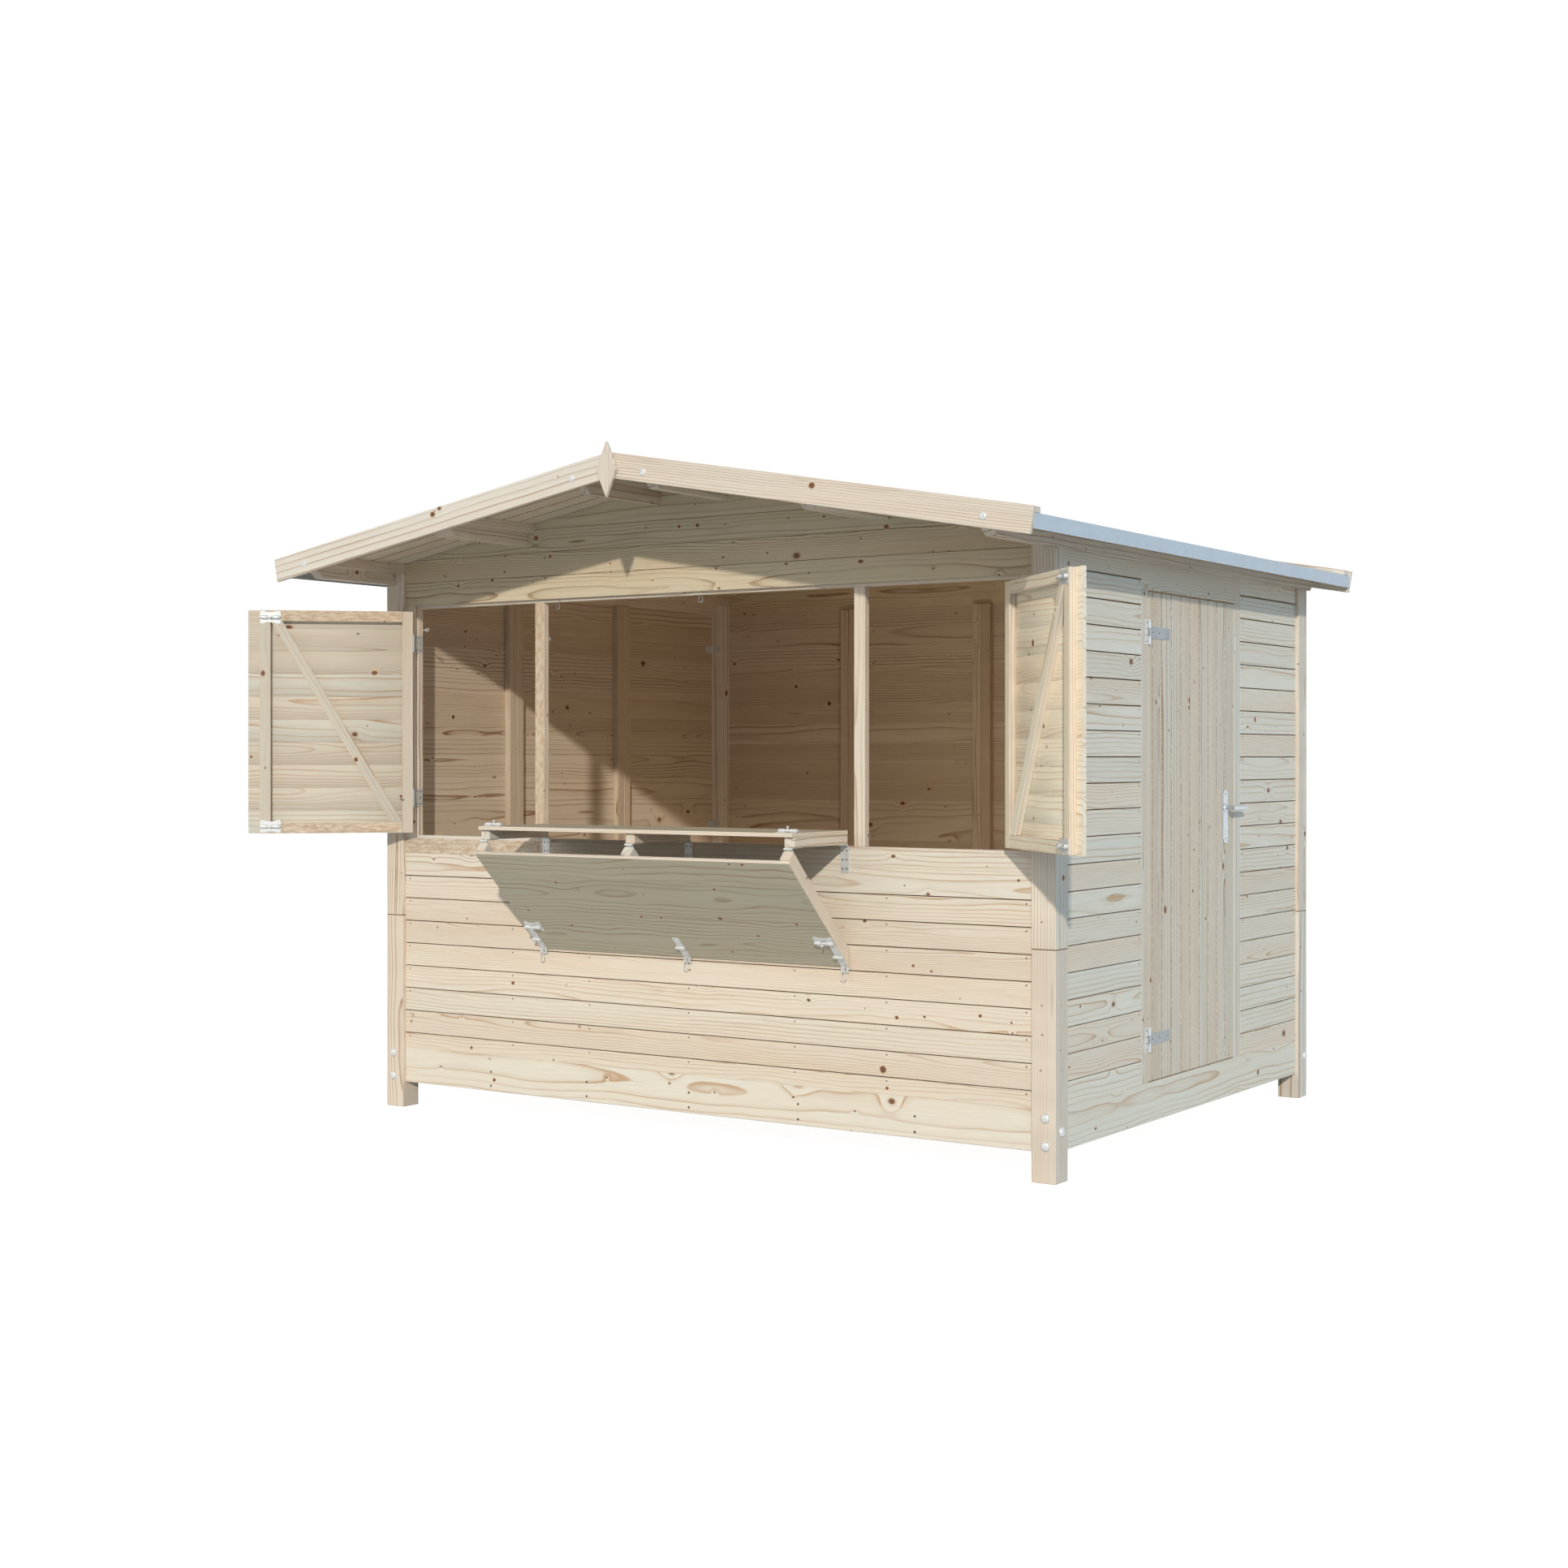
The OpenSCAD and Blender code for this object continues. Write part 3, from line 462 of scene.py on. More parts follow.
def plough(piece, across, places, outward, groove):
    """Runs a groove into one broad face at every joint, bevels the board below it and says where the face lies."""
    wide, deep, bevel = groove
    run = across.cross(outward).normalized()
    mesh = piece.data
    looking = [f for f in mesh.polygons if f.normal.dot(outward) > 0.999]
    face = max(looking, key=lambda f: f.area).center.dot(outward)
    level = [f for f in looking if abs(f.center.dot(outward) - face) < 1e-4]
    ends = [mesh.vertices[v].co.dot(run) for f in level for v in f.vertices]
    start, end = min(ends), max(ends)
    cutter = begin("cube", "groove_cutter", size=1)
    stock = cutter.data.copy()
    work = bmesh.new()
    for place in places:
        middle = across * place + outward * face + run * (start + end) / 2
        axes = Matrix((run * (end - start + 0.02), outward * 2 * deep, across * wide)).transposed()
        box = stock.copy()
        box.transform(Matrix.Translation(middle) @ axes.to_4x4())
        work.from_mesh(box)
    bmesh.ops.recalc_face_normals(work, faces=work.faces)
    work.to_mesh(cutter.data)
    work.free()
    cut_away(piece, cutter)
    if bevel:
        mesh = piece.data

        def upper_edge(edge):
            ends = [mesh.vertices[v].co for v in edge.vertices]
            flush = all(abs(e.dot(outward) - face) < 1e-5 for e in ends)
            return flush and any(all(abs(e.dot(across) - place + wide / 2) < 1e-5 for e in ends) for place in places)

        edit(piece, "edges", upper_edge)
        bpy.ops.mesh.bevel(offset=bevel, segments=1, affect="EDGES")
        clear()
    return face


def parts_of(mesh):
    """The separate boards of a mesh, as lists of vertex numbers."""
    root = list(range(len(mesh.vertices)))

    def find(i):
        while root[i] != i:
            root[i] = root[root[i]]
            i = root[i]
        return i

    for edge in mesh.edges:
        a, b = find(edge.vertices[0]), find(edge.vertices[1])
        root[a] = b
    parts = {}
    for i in range(len(root)):
        parts.setdefault(find(i), []).append(i)
    return list(parts.values())


def centre_of(mesh, part):
    places = [mesh.vertices[i].co for i in part]
    low, high = (Vector([pick(p[k] for p in places) for k in range(3)]) for pick in (min, max))
    return (low + high) / 2


def lay_grain(piece, along=None):
    """Gives each board its own run of grain, along its longest edge."""
    mesh = piece.data
    dice = random.Random(zlib.crc32(piece.name.encode()))
    mesh.attributes.new("grain", "FLOAT_VECTOR", "POINT")
    mesh.attributes.new("board", "FLOAT", "POINT")
    grain, board = mesh.attributes["grain"], mesh.attributes["board"]
    parts = parts_of(mesh)
    owner = {i: number for number, part in enumerate(parts) for i in part}
    edges = [[] for _ in parts]
    for edge in mesh.edges:
        a, b = edge.vertices
        edges[owner[a]].append(mesh.vertices[b].co - mesh.vertices[a].co)
    order = sorted(range(len(parts)), key=lambda n: tuple(round(c, 4) for c in centre_of(mesh, parts[n])))
    for number in order:
        part = parts[number]
        u = along.normalized() if along else max(edges[number], key=lambda e: e.length).normalized()
        rest = [e - u * e.dot(u) for e in edges[number]]
        v = max(rest, key=lambda e: e.length).normalized()
        w = u.cross(v)
        centre = centre_of(mesh, part)
        seed = dice.random()
        start = dice.uniform(-3, 3)
        for i in part:
            away = mesh.vertices[i].co - centre
            grain.data[i].vector = (away.dot(u) + start, away.dot(v), away.dot(w))
            board.data[i].value = seed


def refinish(piece, material, test):
    """Gives the faces whose middle and normal pass a test another finish."""
    piece.data.materials.append(material)
    number = len(piece.data.materials) - 1
    for face in piece.data.polygons:
        if test(face.center, face.normal):
            face.material_index = number


def timber(node, name, material, slot, across=None, places=(), faces=(), along=None, edge=0.0012, groove=None,
           stain=None):
    """A solid sawn into boards at some places, with a groove over each joint on the named faces."""
    piece = from_solid(node, name)
    planes = [plough(piece, across, places, outward, groove) for outward in faces]
    if places:
        saw(piece, across, places)
    chamfer(piece, edge)
    lay_grain(piece, along)
    piece.data.materials.append(material)
    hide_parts(node)
    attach(piece, next(body for body, nodes in frame["record"]["behaviour"]["bodies"].items() if node in nodes))
    # Faces inside each groove are painted with the groove shade, or with the given stain
    for outward, face in zip(faces, planes):
        refinish(piece, stain or groove_shade_spruce, lambda middle, normal: (
            0.0009 < face - middle.dot(outward) < groove[1] + 0.001
            and any(abs(middle.dot(across) - place) < groove[0] / 2 + 0.0002 for place in places)))
    return piece


def span(node, axis):
    low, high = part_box(node)
    return low[axis], high[axis]


def rows(node, axis, first, pitch=0.090):
    """Joints of a node's boards along an axis, in step with a first one and clear of both ends."""
    low, high = span(node, axis)
    spare = 0.02
    count = int((high - low) / pitch) + 2
    start = first + math.floor((low - first) / pitch) * pitch
    return [start + i * pitch for i in range(count) if low + spare < start + i * pitch < high - spare]


# Planes and lines of the stall
front, rear = span("corner_posts", 1)
post_size = 0.090
post_joint = 0.770
post_side = 1.500
wall_front = front + 0.014
wall_side = 1.486
wall_side_inner = 1.470
wall_rear_inner = front + 2.270
bargeboard_face = 1.435
mullion_line = 0.709
bolt_heights = (1.131, 1.956)
flap_fold = math.radians(44.637)
counter_pin = Vector((0, front - 0.344, 1.095))
down_flap = Vector((0, math.cos(flap_fold), -math.sin(flap_fold)))
out_of_flap = Vector((0, -math.sin(flap_fold), -math.cos(flap_fold)))
counter_face = 1.149
shutter_turn = math.radians(137)
low_rail_top, high_rail_foot = 1.149, 1.938
on_planks, on_battens = 0.019, 0.044


def shutter_lines(sign):
    """A shutter's hinge pin, the way that it reaches from there, and the way through it to its inner face."""
    return (Vector((sign * 1.355, front + 0.006, 0)),
            Vector((sign * -math.cos(shutter_turn), -math.sin(shutter_turn), 0)),
            Vector((-sign * math.sin(shutter_turn), math.cos(shutter_turn), 0)))


# Walls: horizontal boards with grooved joints, from the first joint's height
walls = (("front_wall", -Y, 0.300), ("rear_wall", Y, 0.300), ("left_wall", -X, 0.325), ("right_wall_front", X, 0.325),
         ("right_wall_rear", X, 0.325))
for node, outward, first in walls:
    piece = timber(node, node + "_boards", board_spruce, "wood_boards", Z, rows(node, 2, first), [outward],
                   edge=0.0006, groove=(0.0034, 0.008, 0.004))
    refinish(piece, inner_spruce, lambda middle, normal: normal.dot(outward) < -0.9)
for node, outward in (("front_gable", -Y), ("rear_gable", Y)):
    timber(node, node + "_boards", gable_spruce, "wood_boards", Z, rows(node, 2, 2.100), [outward], edge=0.0006,
           groove=(0.0016, 0.004, 0))
timber("right_wall_over_door", "board_over_door", board_spruce, "wood_boards")
sill = timber("sill_board", "sill_boards", board_spruce, "wood_boards", X, [-mullion_line], edge=0.0015)
refinish(sill, torn_spruce, lambda middle, normal: middle.x < -mullion_line)
timber("front_side_boards", "front_side_boards_planed", board_spruce, "wood_boards")

# Frame timbers
for wood, slot, ending, nodes in (
    (beam_spruce, "wood_frame", "_timbers", ("post_bases", "corner_posts", "floor_joists", "opening_rails",
                                             "opening_jambs", "mullions", "eave_purlins", "roof_purlins")),
    (beam_spruce, "wood_frame", "_boards", ["door_jambs"]),
    (inner_spruce, "wood_frame", "_timbers", ["wall_studs"]),
    (board_spruce, "wood_boards", "_boards", ["bearers"]),
    (beam_spruce, "wood_trim", "_timbers", ("bargeboards", "edge_strips")),
    (beam_spruce, "wood_door", "_timbers", ["door_ledges"]),
):
    for node in nodes:
        piece = timber(node, node[:-1] + ending, wood, slot, edge=0.002)
        if node in ("post_bases", "corner_posts"):
            # Painted shade: the bevelled faces at the joint of base and post take the groove shade
            refinish(piece, groove_shade_spruce, lambda middle, normal: abs(middle.z - post_joint) < 0.003)
        if node == "mullions":
            refinish(piece, torn_spruce, lambda middle, normal: middle.x < 0 and normal.y < -0.5)
timber("gable_diamonds", "gable_diamond_boards", beam_spruce, "wood_trim", along=Z, edge=0.003)

# Floor, underside of the roof, and the door's upright boards
slope = math.atan(0.1763)
undersides = [Vector((side * math.sin(slope), 0, -math.cos(slope))) for side in SIDES]
timber("floor_boards", "floor_planks", floor_spruce, "wood_floor", Y, rows("floor_boards", 1, 0.0, 0.120), [Z], X,
       0.0008, (0.003, 0.004, 0))
timber("roof_boards", "roof_planks", board_spruce, "wood_boards", Y, rows("roof_boards", 1, -1.419), undersides,
       edge=0.0008, groove=(0.006, 0.006, 0))
timber("door_boards", "door_planks", door_spruce, "wood_door", Y, rows("door_boards", 1, -0.182, 0.084), [X], Z,
       0.0005, (0.0044, 0.0025, 0), dashed_stain)

# Shutters, counter and flap
for side, sign, planks_wood, battens_wood in (("left", -1, left_shutter_spruce, left_shutter_spruce),
                                              ("right", 1, board_spruce, beam_spruce)):
    boards = side + "_shutter_boards"
    inward = shutter_lines(sign)[2]
    planks = timber(boards, side + "_shutter_planks", planks_wood, "wood_shutters", Z, rows(boards, 2, 1.103),
                    [-inward], edge=0.0006, groove=(0.0034, 0.007, 0.004))
    battens = timber(side + "_shutter_frame", side + "_shutter_battens", battens_wood, "wood_shutters", edge=0.0015)
    if side == "left":
        refinish(battens, torn_spruce, lambda middle, normal: (
            normal.dot(inward) > 0.9 and not low_rail_top < middle.z < high_rail_foot))
    else:
        # The inner faces take the lighter copy of the spruce: painted light
        for piece in (planks, battens):
            refinish(piece, right_shutter_lit_spruce, lambda middle, normal: normal.dot(inward) > 0.9)
for node, name, across, seams in (
    ("counter_sheet", "counter_top_sheet", Y, [counter_pin.y + 0.170]),
    ("flap_sheet", "counter_flap_sheet", down_flap, [counter_pin.dot(down_flap) + a for a in (0.130, 0.325)]),
):
    sheet = timber(node, name, sheet_spruce, "wood_counter", across, seams, along=X, edge=0.0004)
    flat = max(sheet.data.polygons, key=lambda face: face.area).normal.copy()
    refinish(sheet, ply_edge, lambda middle, normal: abs(normal.dot(flat)) < 0.5)
for node, name in (("counter_battens", "counter_top_battens"), ("flap_battens", "counter_flap_battens")):
    timber(node, name, beam_spruce, "wood_counter", edge=0.0025)

# Metal and roofing keep their solids
for material, nodes in (
    (felt, ["roof_cover"]), (zinc_trim, ["eave_trims"]), (zinc_strap, ["door_hinge_straps"]),
    (lever_metal, ["door_handle"]),
    (zinc_hinge, ["fixed_hinge_leaves", "left_shutter_hinges", "right_shutter_hinges", "counter_hinges",
                  "flap_hinges"]),
):
    for node in nodes:
        frame["nodes"][node].data.materials.clear()
        frame["nodes"][node].data.materials.append(material)


# Ironmongery

def close(piece, angle=0.7):
    """Leaves editing with the faces turned outwards and smooth between sharp edges."""
    bpy.ops.mesh.select_all(action="SELECT")
    bpy.ops.mesh.fill_holes(sides=0)
    bpy.ops.mesh.normals_make_consistent(inside=False)
    bpy.ops.object.mode_set(mode="OBJECT")
    bpy.ops.object.shade_smooth_by_angle(angle=angle)
    return piece


def slab(name, low, high, corner=0.003):
    """A plate between two corners, its outline rounded about Z and its edges broken."""
    low, high = Vector(low), Vector(high)
    piece = begin("cube", name, size=1, location=(low + high) / 2, scale=high - low)
    mesh = piece.data
    edit(piece, "edges", lambda e: abs(mesh.vertices[e.vertices[0]].co.z - mesh.vertices[e.vertices[1]].co.z) > 1e-5)
    bpy.ops.mesh.bevel(offset=corner, segments=3, affect="EDGES")
    close(piece)
    chamfer(piece, 0.0003, 0.6)
    return piece


def turned(name, sides, material, *rings):
    """A round piece built up from its base, as the radius and height of each ring in millimetres."""
    (radius, height), *above = [(r / 1000, h / 1000) for r, h in rings]
    piece = begin("circle", name, vertices=sides, radius=radius, fill_type="NGON", location=(0, 0, height))
    edit(piece, "faces", lambda face: True)
    for next_radius, next_height in above:
        bpy.ops.mesh.extrude_region_move(TRANSFORM_OT_translate={"value": (0, 0, next_height - height)})
        bpy.ops.transform.resize(value=(next_radius / radius, next_radius / radius, 1))
        radius, height = next_radius, next_height
    piece.data.materials.append(material)
    return close(piece)


def softened(piece, width):
    """A piece with rounded edges, smooth between them."""
    chamfer(piece, width, 0.8, 2)
    bpy.ops.object.shade_smooth_by_angle(angle=0.7)
    return piece


def bar(name, start, end, radius, sides, soft):
    """A round bar between two points with broken ends."""
    start, end = Vector(start), Vector(end)
    way = end - start
    return softened(begin("cylinder", name, vertices=sides, radius=radius, depth=way.length, location=(start + end) / 2,
                          rotation=way.to_track_quat("Z", "Y").to_euler()), soft)


def tube(name, axis, length, outer, wall):
    """A short open tube about the origin."""
    piece = begin("cylinder", name, vertices=18, radius=outer, depth=length, end_fill_type="NOTHING",
                  rotation=axis.to_track_quat("Z", "Y").to_euler())
    modify(piece, "SOLIDIFY", thickness=wall, offset=-1)
    return softened(piece, wall * 0.2)


def assembled(name, parts, others=(), metal=screw_steel):
    """Joins zinc parts, and others of another metal, into one pattern."""
    joined = [(part, zinc_hinge) for part in parts] + [(part, metal) for part in others]
    for part, material in joined:
        part.data.materials.clear()
        part.data.materials.append(material)
    only(parts[0])
    for part, material in joined[1:]:
        part.select_set(True)
    bpy.ops.object.join()
    pattern = bpy.context.object
    pattern.name = pattern.data.name = name
    return pattern


def seat(origin, along, out):
    """The place of a pattern whose X runs along a face and whose Z stands out of it."""
    along, out = Vector(along).normalized(), Vector(out).normalized()
    place = Matrix((along, out.cross(along), out)).transposed().to_4x4()
    place.translation = Vector(origin)
    return place


def on_wall(out, plane, run, height):
    """A point of an upright face; the run is along X, or back from the front where the face looks sideways."""
    return (plane, front + run, height) if out.x else (run, plane, height)


def on_flap(x, along, out=0.054):
    return counter_pin + X * x + down_flap * along + out_of_flap * out


def fitted(pattern, name, places, body="stall", slot="zinc_hinges"):
    """Copies of a pattern at their places, as one piece on a body."""
    work = bmesh.new()
    for place in places:
        mesh = pattern.data.copy()
        mesh.transform(place)
        work.from_mesh(mesh)
        bpy.data.meshes.remove(mesh)
    mesh = bpy.data.meshes.new(name)
    work.to_mesh(mesh)
    work.free()
    for material in pattern.data.materials:
        mesh.materials.append(material)
    piece = bpy.data.objects.new(name, mesh)
    scene.collection.objects.link(piece)
    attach(piece, body)


def screws_at(height, *places):
    """Copies of the screw on a plate."""
    copies = []
    for x, y in places:
        copy = screw.copy()
        copy.data = screw.data.copy()
        copy.data.transform(Matrix.Translation((x, y, height)))
        scene.collection.objects.link(copy)
        copies.append(copy)
    return copies


def barrel_bolt():
    """A wavy plate with two barrels, a drawn-back rod that ends at X 0, and a knob between the barrels."""
    plate = slab("bolt_plate", (-0.082, -0.025, 0), (-0.002, 0.025, 0.0016), 0.006)
    edit(plate, "faces", lambda face: True)
    for x in (-0.066, -0.057, -0.027, -0.018):
        bpy.ops.mesh.select_all(action="SELECT")
        bpy.ops.mesh.bisect(plane_co=(x, 0, 0), plane_no=(1, 0, 0))
    edit(plate, "vertices", lambda v: -0.0575 < v.co.x < -0.0265)
    bpy.ops.transform.resize(value=(1, 0.8, 1))
    close(plate, 0.5)
    barrels = [bar("bolt_barrel", (x, 0, 0.0062), (x + 0.025, 0, 0.0062), 0.0074, 18, 0.001) for x in (-0.078, -0.031)]
    rod = bar("bolt_rod", (-0.080, 0, 0.0068), (0, 0, 0.0068), 0.0048, 14, 0.0012)
    knob = turned("bolt_knob", 14, zinc_hinge, (2.8, 9), (2.8, 16.5), (4.6, 17.5), (5, 20), (3.6, 22.2), (1.2, 22.8))
    knob.data.transform(Matrix.Translation((-0.0425, 0, 0)))
    screws = screws_at(0.0016, *[(x, y) for x in (-0.073, -0.0115) for y in (-0.018, 0.018)])
    return assembled("barrel_bolt_pattern", [plate, *barrels, rod, knob, *screws])


def hasp():
    """Two leaves on a thick knuckle; the lower leaf ends in a slotted tab that hangs plumb at the flap's foot."""
    upper = slab("hasp_upper_leaf", (-0.015, 0.060, 0), (0.015, 0.108, 0.0022))
    knuckle = bar("hasp_knuckle", (-0.0200, 0.056, 0.0050), (0.0200, 0.056, 0.0050), 0.0068, 16, 0.0008)
    lower = begin("cube", "hasp_lower_leaf", size=1, location=(0, 0.0265, 0.0011), scale=(0.030, 0.053, 0.0022))
    edit(lower, "faces", lambda face: face.normal.y < -0.9)
    drop = Vector((0, -math.sin(flap_fold), math.cos(flap_fold)))
    bpy.ops.mesh.extrude_region_move(TRANSFORM_OT_translate={"value": drop * 0.020})
    close(lower)
    cut_away(lower, begin("cylinder", "hasp_slot", vertices=20, radius=0.0042, depth=0.02, location=drop * 0.0105,
                          rotation=(-(math.pi / 2 - flap_fold), 0, 0), scale=(1, 1.6, 1)))
    chamfer(lower, 0.0003, 0.6)
    screws = screws_at(0.0022, *[(x, y) for x in (-0.0075, 0.0075) for y in (0.072, 0.096)])
    return assembled("hasp_pattern", [lower, upper, knuckle, *screws])


def screw_eye(linked):
    """An eye at the origin on a shank along -Z; linked has a narrow ring hung in it."""
    eye = begin("torus", "screw_eye_loop", major_segments=18, minor_segments=8, major_radius=0.0065,
                minor_radius=0.0019, rotation=(0, math.pi / 2, 0))
    edit(eye, "vertices", lambda v: v.co.z < -0.005)
    bpy.ops.transform.translate(value=(0, 0, -0.0012))
    close(eye, 1.2)
    parts = [eye, bar("screw_eye_shank", (0, 0, -0.028), (0, 0, -0.0066), 0.0022, 10, 0.0004)]
    if linked:
        ring = begin("torus", "hung_ring", major_segments=24, minor_segments=8, major_radius=0.0095,
                     minor_radius=0.0018, location=(0, -0.0125, 0))
        edit(ring, "vertices", lambda v: v.co.y < -0.0125)
        bpy.ops.transform.translate(value=(0, -0.014, 0))
        edit(ring, "vertices", lambda v: v.co.y > -0.0130)
        bpy.ops.transform.resize(value=(0.6, 1, 1))
        parts.append(close(ring, 1.2))
    return assembled("screw_eye_pattern", parts)


def corner_bracket():
    """Two legs bent at a right angle: one lies on Z 0 along X, the other stands on X 0."""
    leg, stand = (slab(name, (0, -0.016, 0), (0.050, 0.016, 0.002), 0.0015)
                  for name in ("bracket_leg", "bracket_stand"))
    stand.data.transform(Matrix.Translation((0.002, 0, 0)) @ Matrix.Rotation(-math.pi / 2, 4, "Y"))
    return assembled("corner_bracket_pattern", [leg, stand], screws_at(0.002, (0.018, 0), (0.038, 0)))


def loose_knot():
    """A flat disc of radius 1 that keeps how far each point is from its middle."""
    piece = turned("knot_pattern", 22, knot_wood, (1000, 0), (950, 0.1), (620, 0.14), (300, 0.14), (40, 0.14))
    spread = piece.data.attributes.new("spread", "FLOAT", "POINT")
    for vertex, value in zip(piece.data.vertices, spread.data):
        value.value = vertex.co.xy.length
    return piece


def oval(place, along, across):
    """The place of a knot with its half lengths in millimetres."""
    return place @ Matrix.Diagonal((along / 1000, across / 1000, 1, 1))


# Patterns
screw = turned("screw_pattern", 12, screw_steel, (3.1, 0), (3.1, 0.4), (2.5, 0.9), (1.4, 0.9), (1.1, 0.3))
tack = turned("nail_pattern", 8, nail_steel, (3, 0), (2.9, 0.3), (2, 0.7), (0.6, 0.8))
bearer_screw = turned("bearer_screw_pattern", 12, screw_steel, (4.8, 0), (4.6, 0.5), (3.4, 0.9), (2, 0.3))
dome = turned("coach_bolt_pattern", 8, zinc_hinge, (17.2, 0), (17, 3.4), (14.2, 7), (9.2, 9.4), (3, 10.4))
cap = turned("screw_cap_pattern", 20, zinc_hinge, (12.5, 0), (12.2, 2.2), (9.8, 3.8), (4.5, 4.6), (3, 3.6))
collar = turned("collar_pattern", 24, lever_metal, (16.8, 0), (16.6, 2), (14.6, 4), (10, 4.6))
lock_ring = turned("lock_ring_pattern", 20, lever_metal, (9.5, 0), (9.3, 1.2), (8, 1.9), (5.2, 1.9))
bolt, clasp, bracket, knot = barrel_bolt(), hasp(), corner_bracket(), loose_knot()
eye, linked_eye = screw_eye(False), screw_eye(True)
keeper = assembled("keeper_pattern", [tube("keeper_loop", X, 0.012, 0.0085, 0.002)])
bush = assembled("bush_pattern", [tube("bolt_bush", Z, 0.003, 0.0078, 0.0028)],
                 [turned("bolt_hole", 16, nail_steel, (5, 0), (4.8, 0.2))], nail_steel)
jamb_plate = assembled("jamb_plate_pattern", [slab("door_jamb_plate", (-0.0465, -0.0065, 0), (0.0465, 0.0065, 0.0016),
                                                   0.002)], screws_at(0.0016, (0.034, 0), (-0.034, 0)))
jamb_leaf = assembled("jamb_leaf_pattern", [slab("jamb_leaf", (-0.035, -0.022, 0), (0.035, 0.022, 0.0014), 0.002)],
                      screws_at(0.0014, (-0.025, -0.009), (0.0, -0.009), (0.025, -0.009), (-0.025, 0.012),
                                (0.025, 0.012)))

# Bolts and knots on the shutters: reach, depth, height and half lengths of each knot
for side, sign, spots in (
    ("left", -1, ((0.156, on_planks, 1.740, 13, 17), (0.228, on_battens, 1.395, 13, 10),
                  (0.052, on_battens, 1.249, 8, 9), (0.635, on_planks, 1.406, 7, 7))),
    ("right", 1, ((0.207, on_planks, 1.771, 14, 12), (0.350, on_planks, 1.709, 6, 6),
                  (0.214, on_planks, 1.206, 6, 7))),
):
    pin, reach, depth = shutter_lines(sign)
    fitted(bolt, side + "_shutter_bolts", [seat(pin + reach * 0.601 + depth * on_battens + Z * z, reach, depth)
                                           for z in bolt_heights], side + "_shutter")
    fitted(knot, side + "_shutter_knots", [oval(seat(pin + reach * a + depth * deep + Z * z, Z, depth), tall, wide)
                                           for a, deep, z, tall, wide in spots], side + "_shutter", "wood_shutters")

# Bolts on the counter's front corners and the flap's lower corners, and what takes the bolts
bolt_end = 0.696
fitted(bolt, "counter_top_bolts", [seat((s * bolt_end, counter_pin.y + 0.030, counter_face), X * s, Z)
                                   for s in SIDES], "counter_top")
fitted(bolt, "counter_flap_bolts", [seat(on_flap(s * bolt_end, 0.416), X * s, out_of_flap) for s in SIDES],
       "counter_flap")
fitted(keeper, "mullion_keepers", [Matrix.Translation((s * 0.712, front + 0.0665, z))
                                   for s in SIDES for z in (1.413, 1.861)])
fitted(bush, "mullion_bushes", [seat((s * 0.747, front + 0.052, z), Y, X * s)
                                for s in SIDES for z in bolt_heights])

# Hasps at the flap's foot, the eyes that they drop over, and the eyes at the head for the shut hatch
hasp_places, hasp_foot = (-0.681, 0.0, 0.681), 0.546
fitted(clasp, "counter_flap_hasps", [seat(on_flap(x, hasp_foot), X, out_of_flap) for x in hasp_places], "counter_flap")
eye_height = on_flap(0, hasp_foot, 0.055).z - 0.0105
fitted(linked_eye, "wall_eyes", [seat((x, front - 0.0065, eye_height), X, -Y) for x in hasp_places])
fitted(linked_eye, "head_eyes", [seat((x, front + 0.0885, 2.012), -X, Y) for x in hasp_places])
fitted(eye, "jamb_eyes", [seat((s * 1.333, front + 0.0575, 1.915), Y, X * -s) for s in SIDES])

# Bolts through the feet, caps on the bargeboards, brackets in the rear corners, plate on the door jamb
fitted(dome, "post_bolts",
       [seat((s * 1.4625, y, z), X, Y * way) for s in SIDES for y, way in ((front, -1), (rear, 1))
        for z in (0.124, 0.216)]
       + [seat((s * post_side, y, 0.169), Y, X * s) for s in SIDES for y in (front + 0.042, rear - 0.027)])
fitted(cap, "bargeboard_caps",
       [seat((x, way * bargeboard_face, z), X, Y * way) for way in SIDES
        for x, z in ((-1.491, 2.150), (-0.164, 2.385), (0.151, 2.385), (1.480, 2.153))])
fitted(bracket, "corner_brackets", [seat((s * wall_side_inner, rear - post_size, z), X * -s, -Y)
                                    for s in SIDES for z in (1.080, 1.928)])
fitted(jamb_plate, "jamb_plate", [seat((wall_side, front + 1.5595, 1.8435), Z, X)])

# Leaves of the shutter hinges on the jambs, and screws in the other hinges
strap_heights = (0.395, 1.850)
hinge_face = wall_side + 0.002
fitted(jamb_leaf, "shutter_jamb_leaves", [seat((s * 1.357, front + 0.034, z), Z, X * -s)
                                          for s in SIDES for z in (1.242, 1.858)])
fitted(screw, "counter_leaf_screws",
       [seat((x + dx, front + 0.012, z), X, -Y) for x in (-0.6755, 0.0, 0.6755) for dx in (-0.008, 0.008)
        for z in (1.014, 1.046, 1.078)])
fitted(screw, "door_plate_screws", [seat((hinge_face, front + 0.740, z + dz), Y, X) for z in strap_heights
                                    for dz in (-0.034, -0.012, 0.012, 0.034)])
fitted(screw, "door_strap_screws", [seat((hinge_face, front + y, z), Y, X) for z in strap_heights
                                    for y in (0.790, 0.850, 0.925)], "door")

# Collar, lock ring and screws on the handle's plate
for pattern, name, heights in ((collar, "handle_collar", (1.210,)), (lock_ring, "handle_lock_ring", (1.115,)),
                               (screw, "handle_screws", (1.092, 1.262))):
    fitted(pattern, name, [seat((1.490, front + 1.459, z), Z, X) for z in heights], "door", "handle_metal")

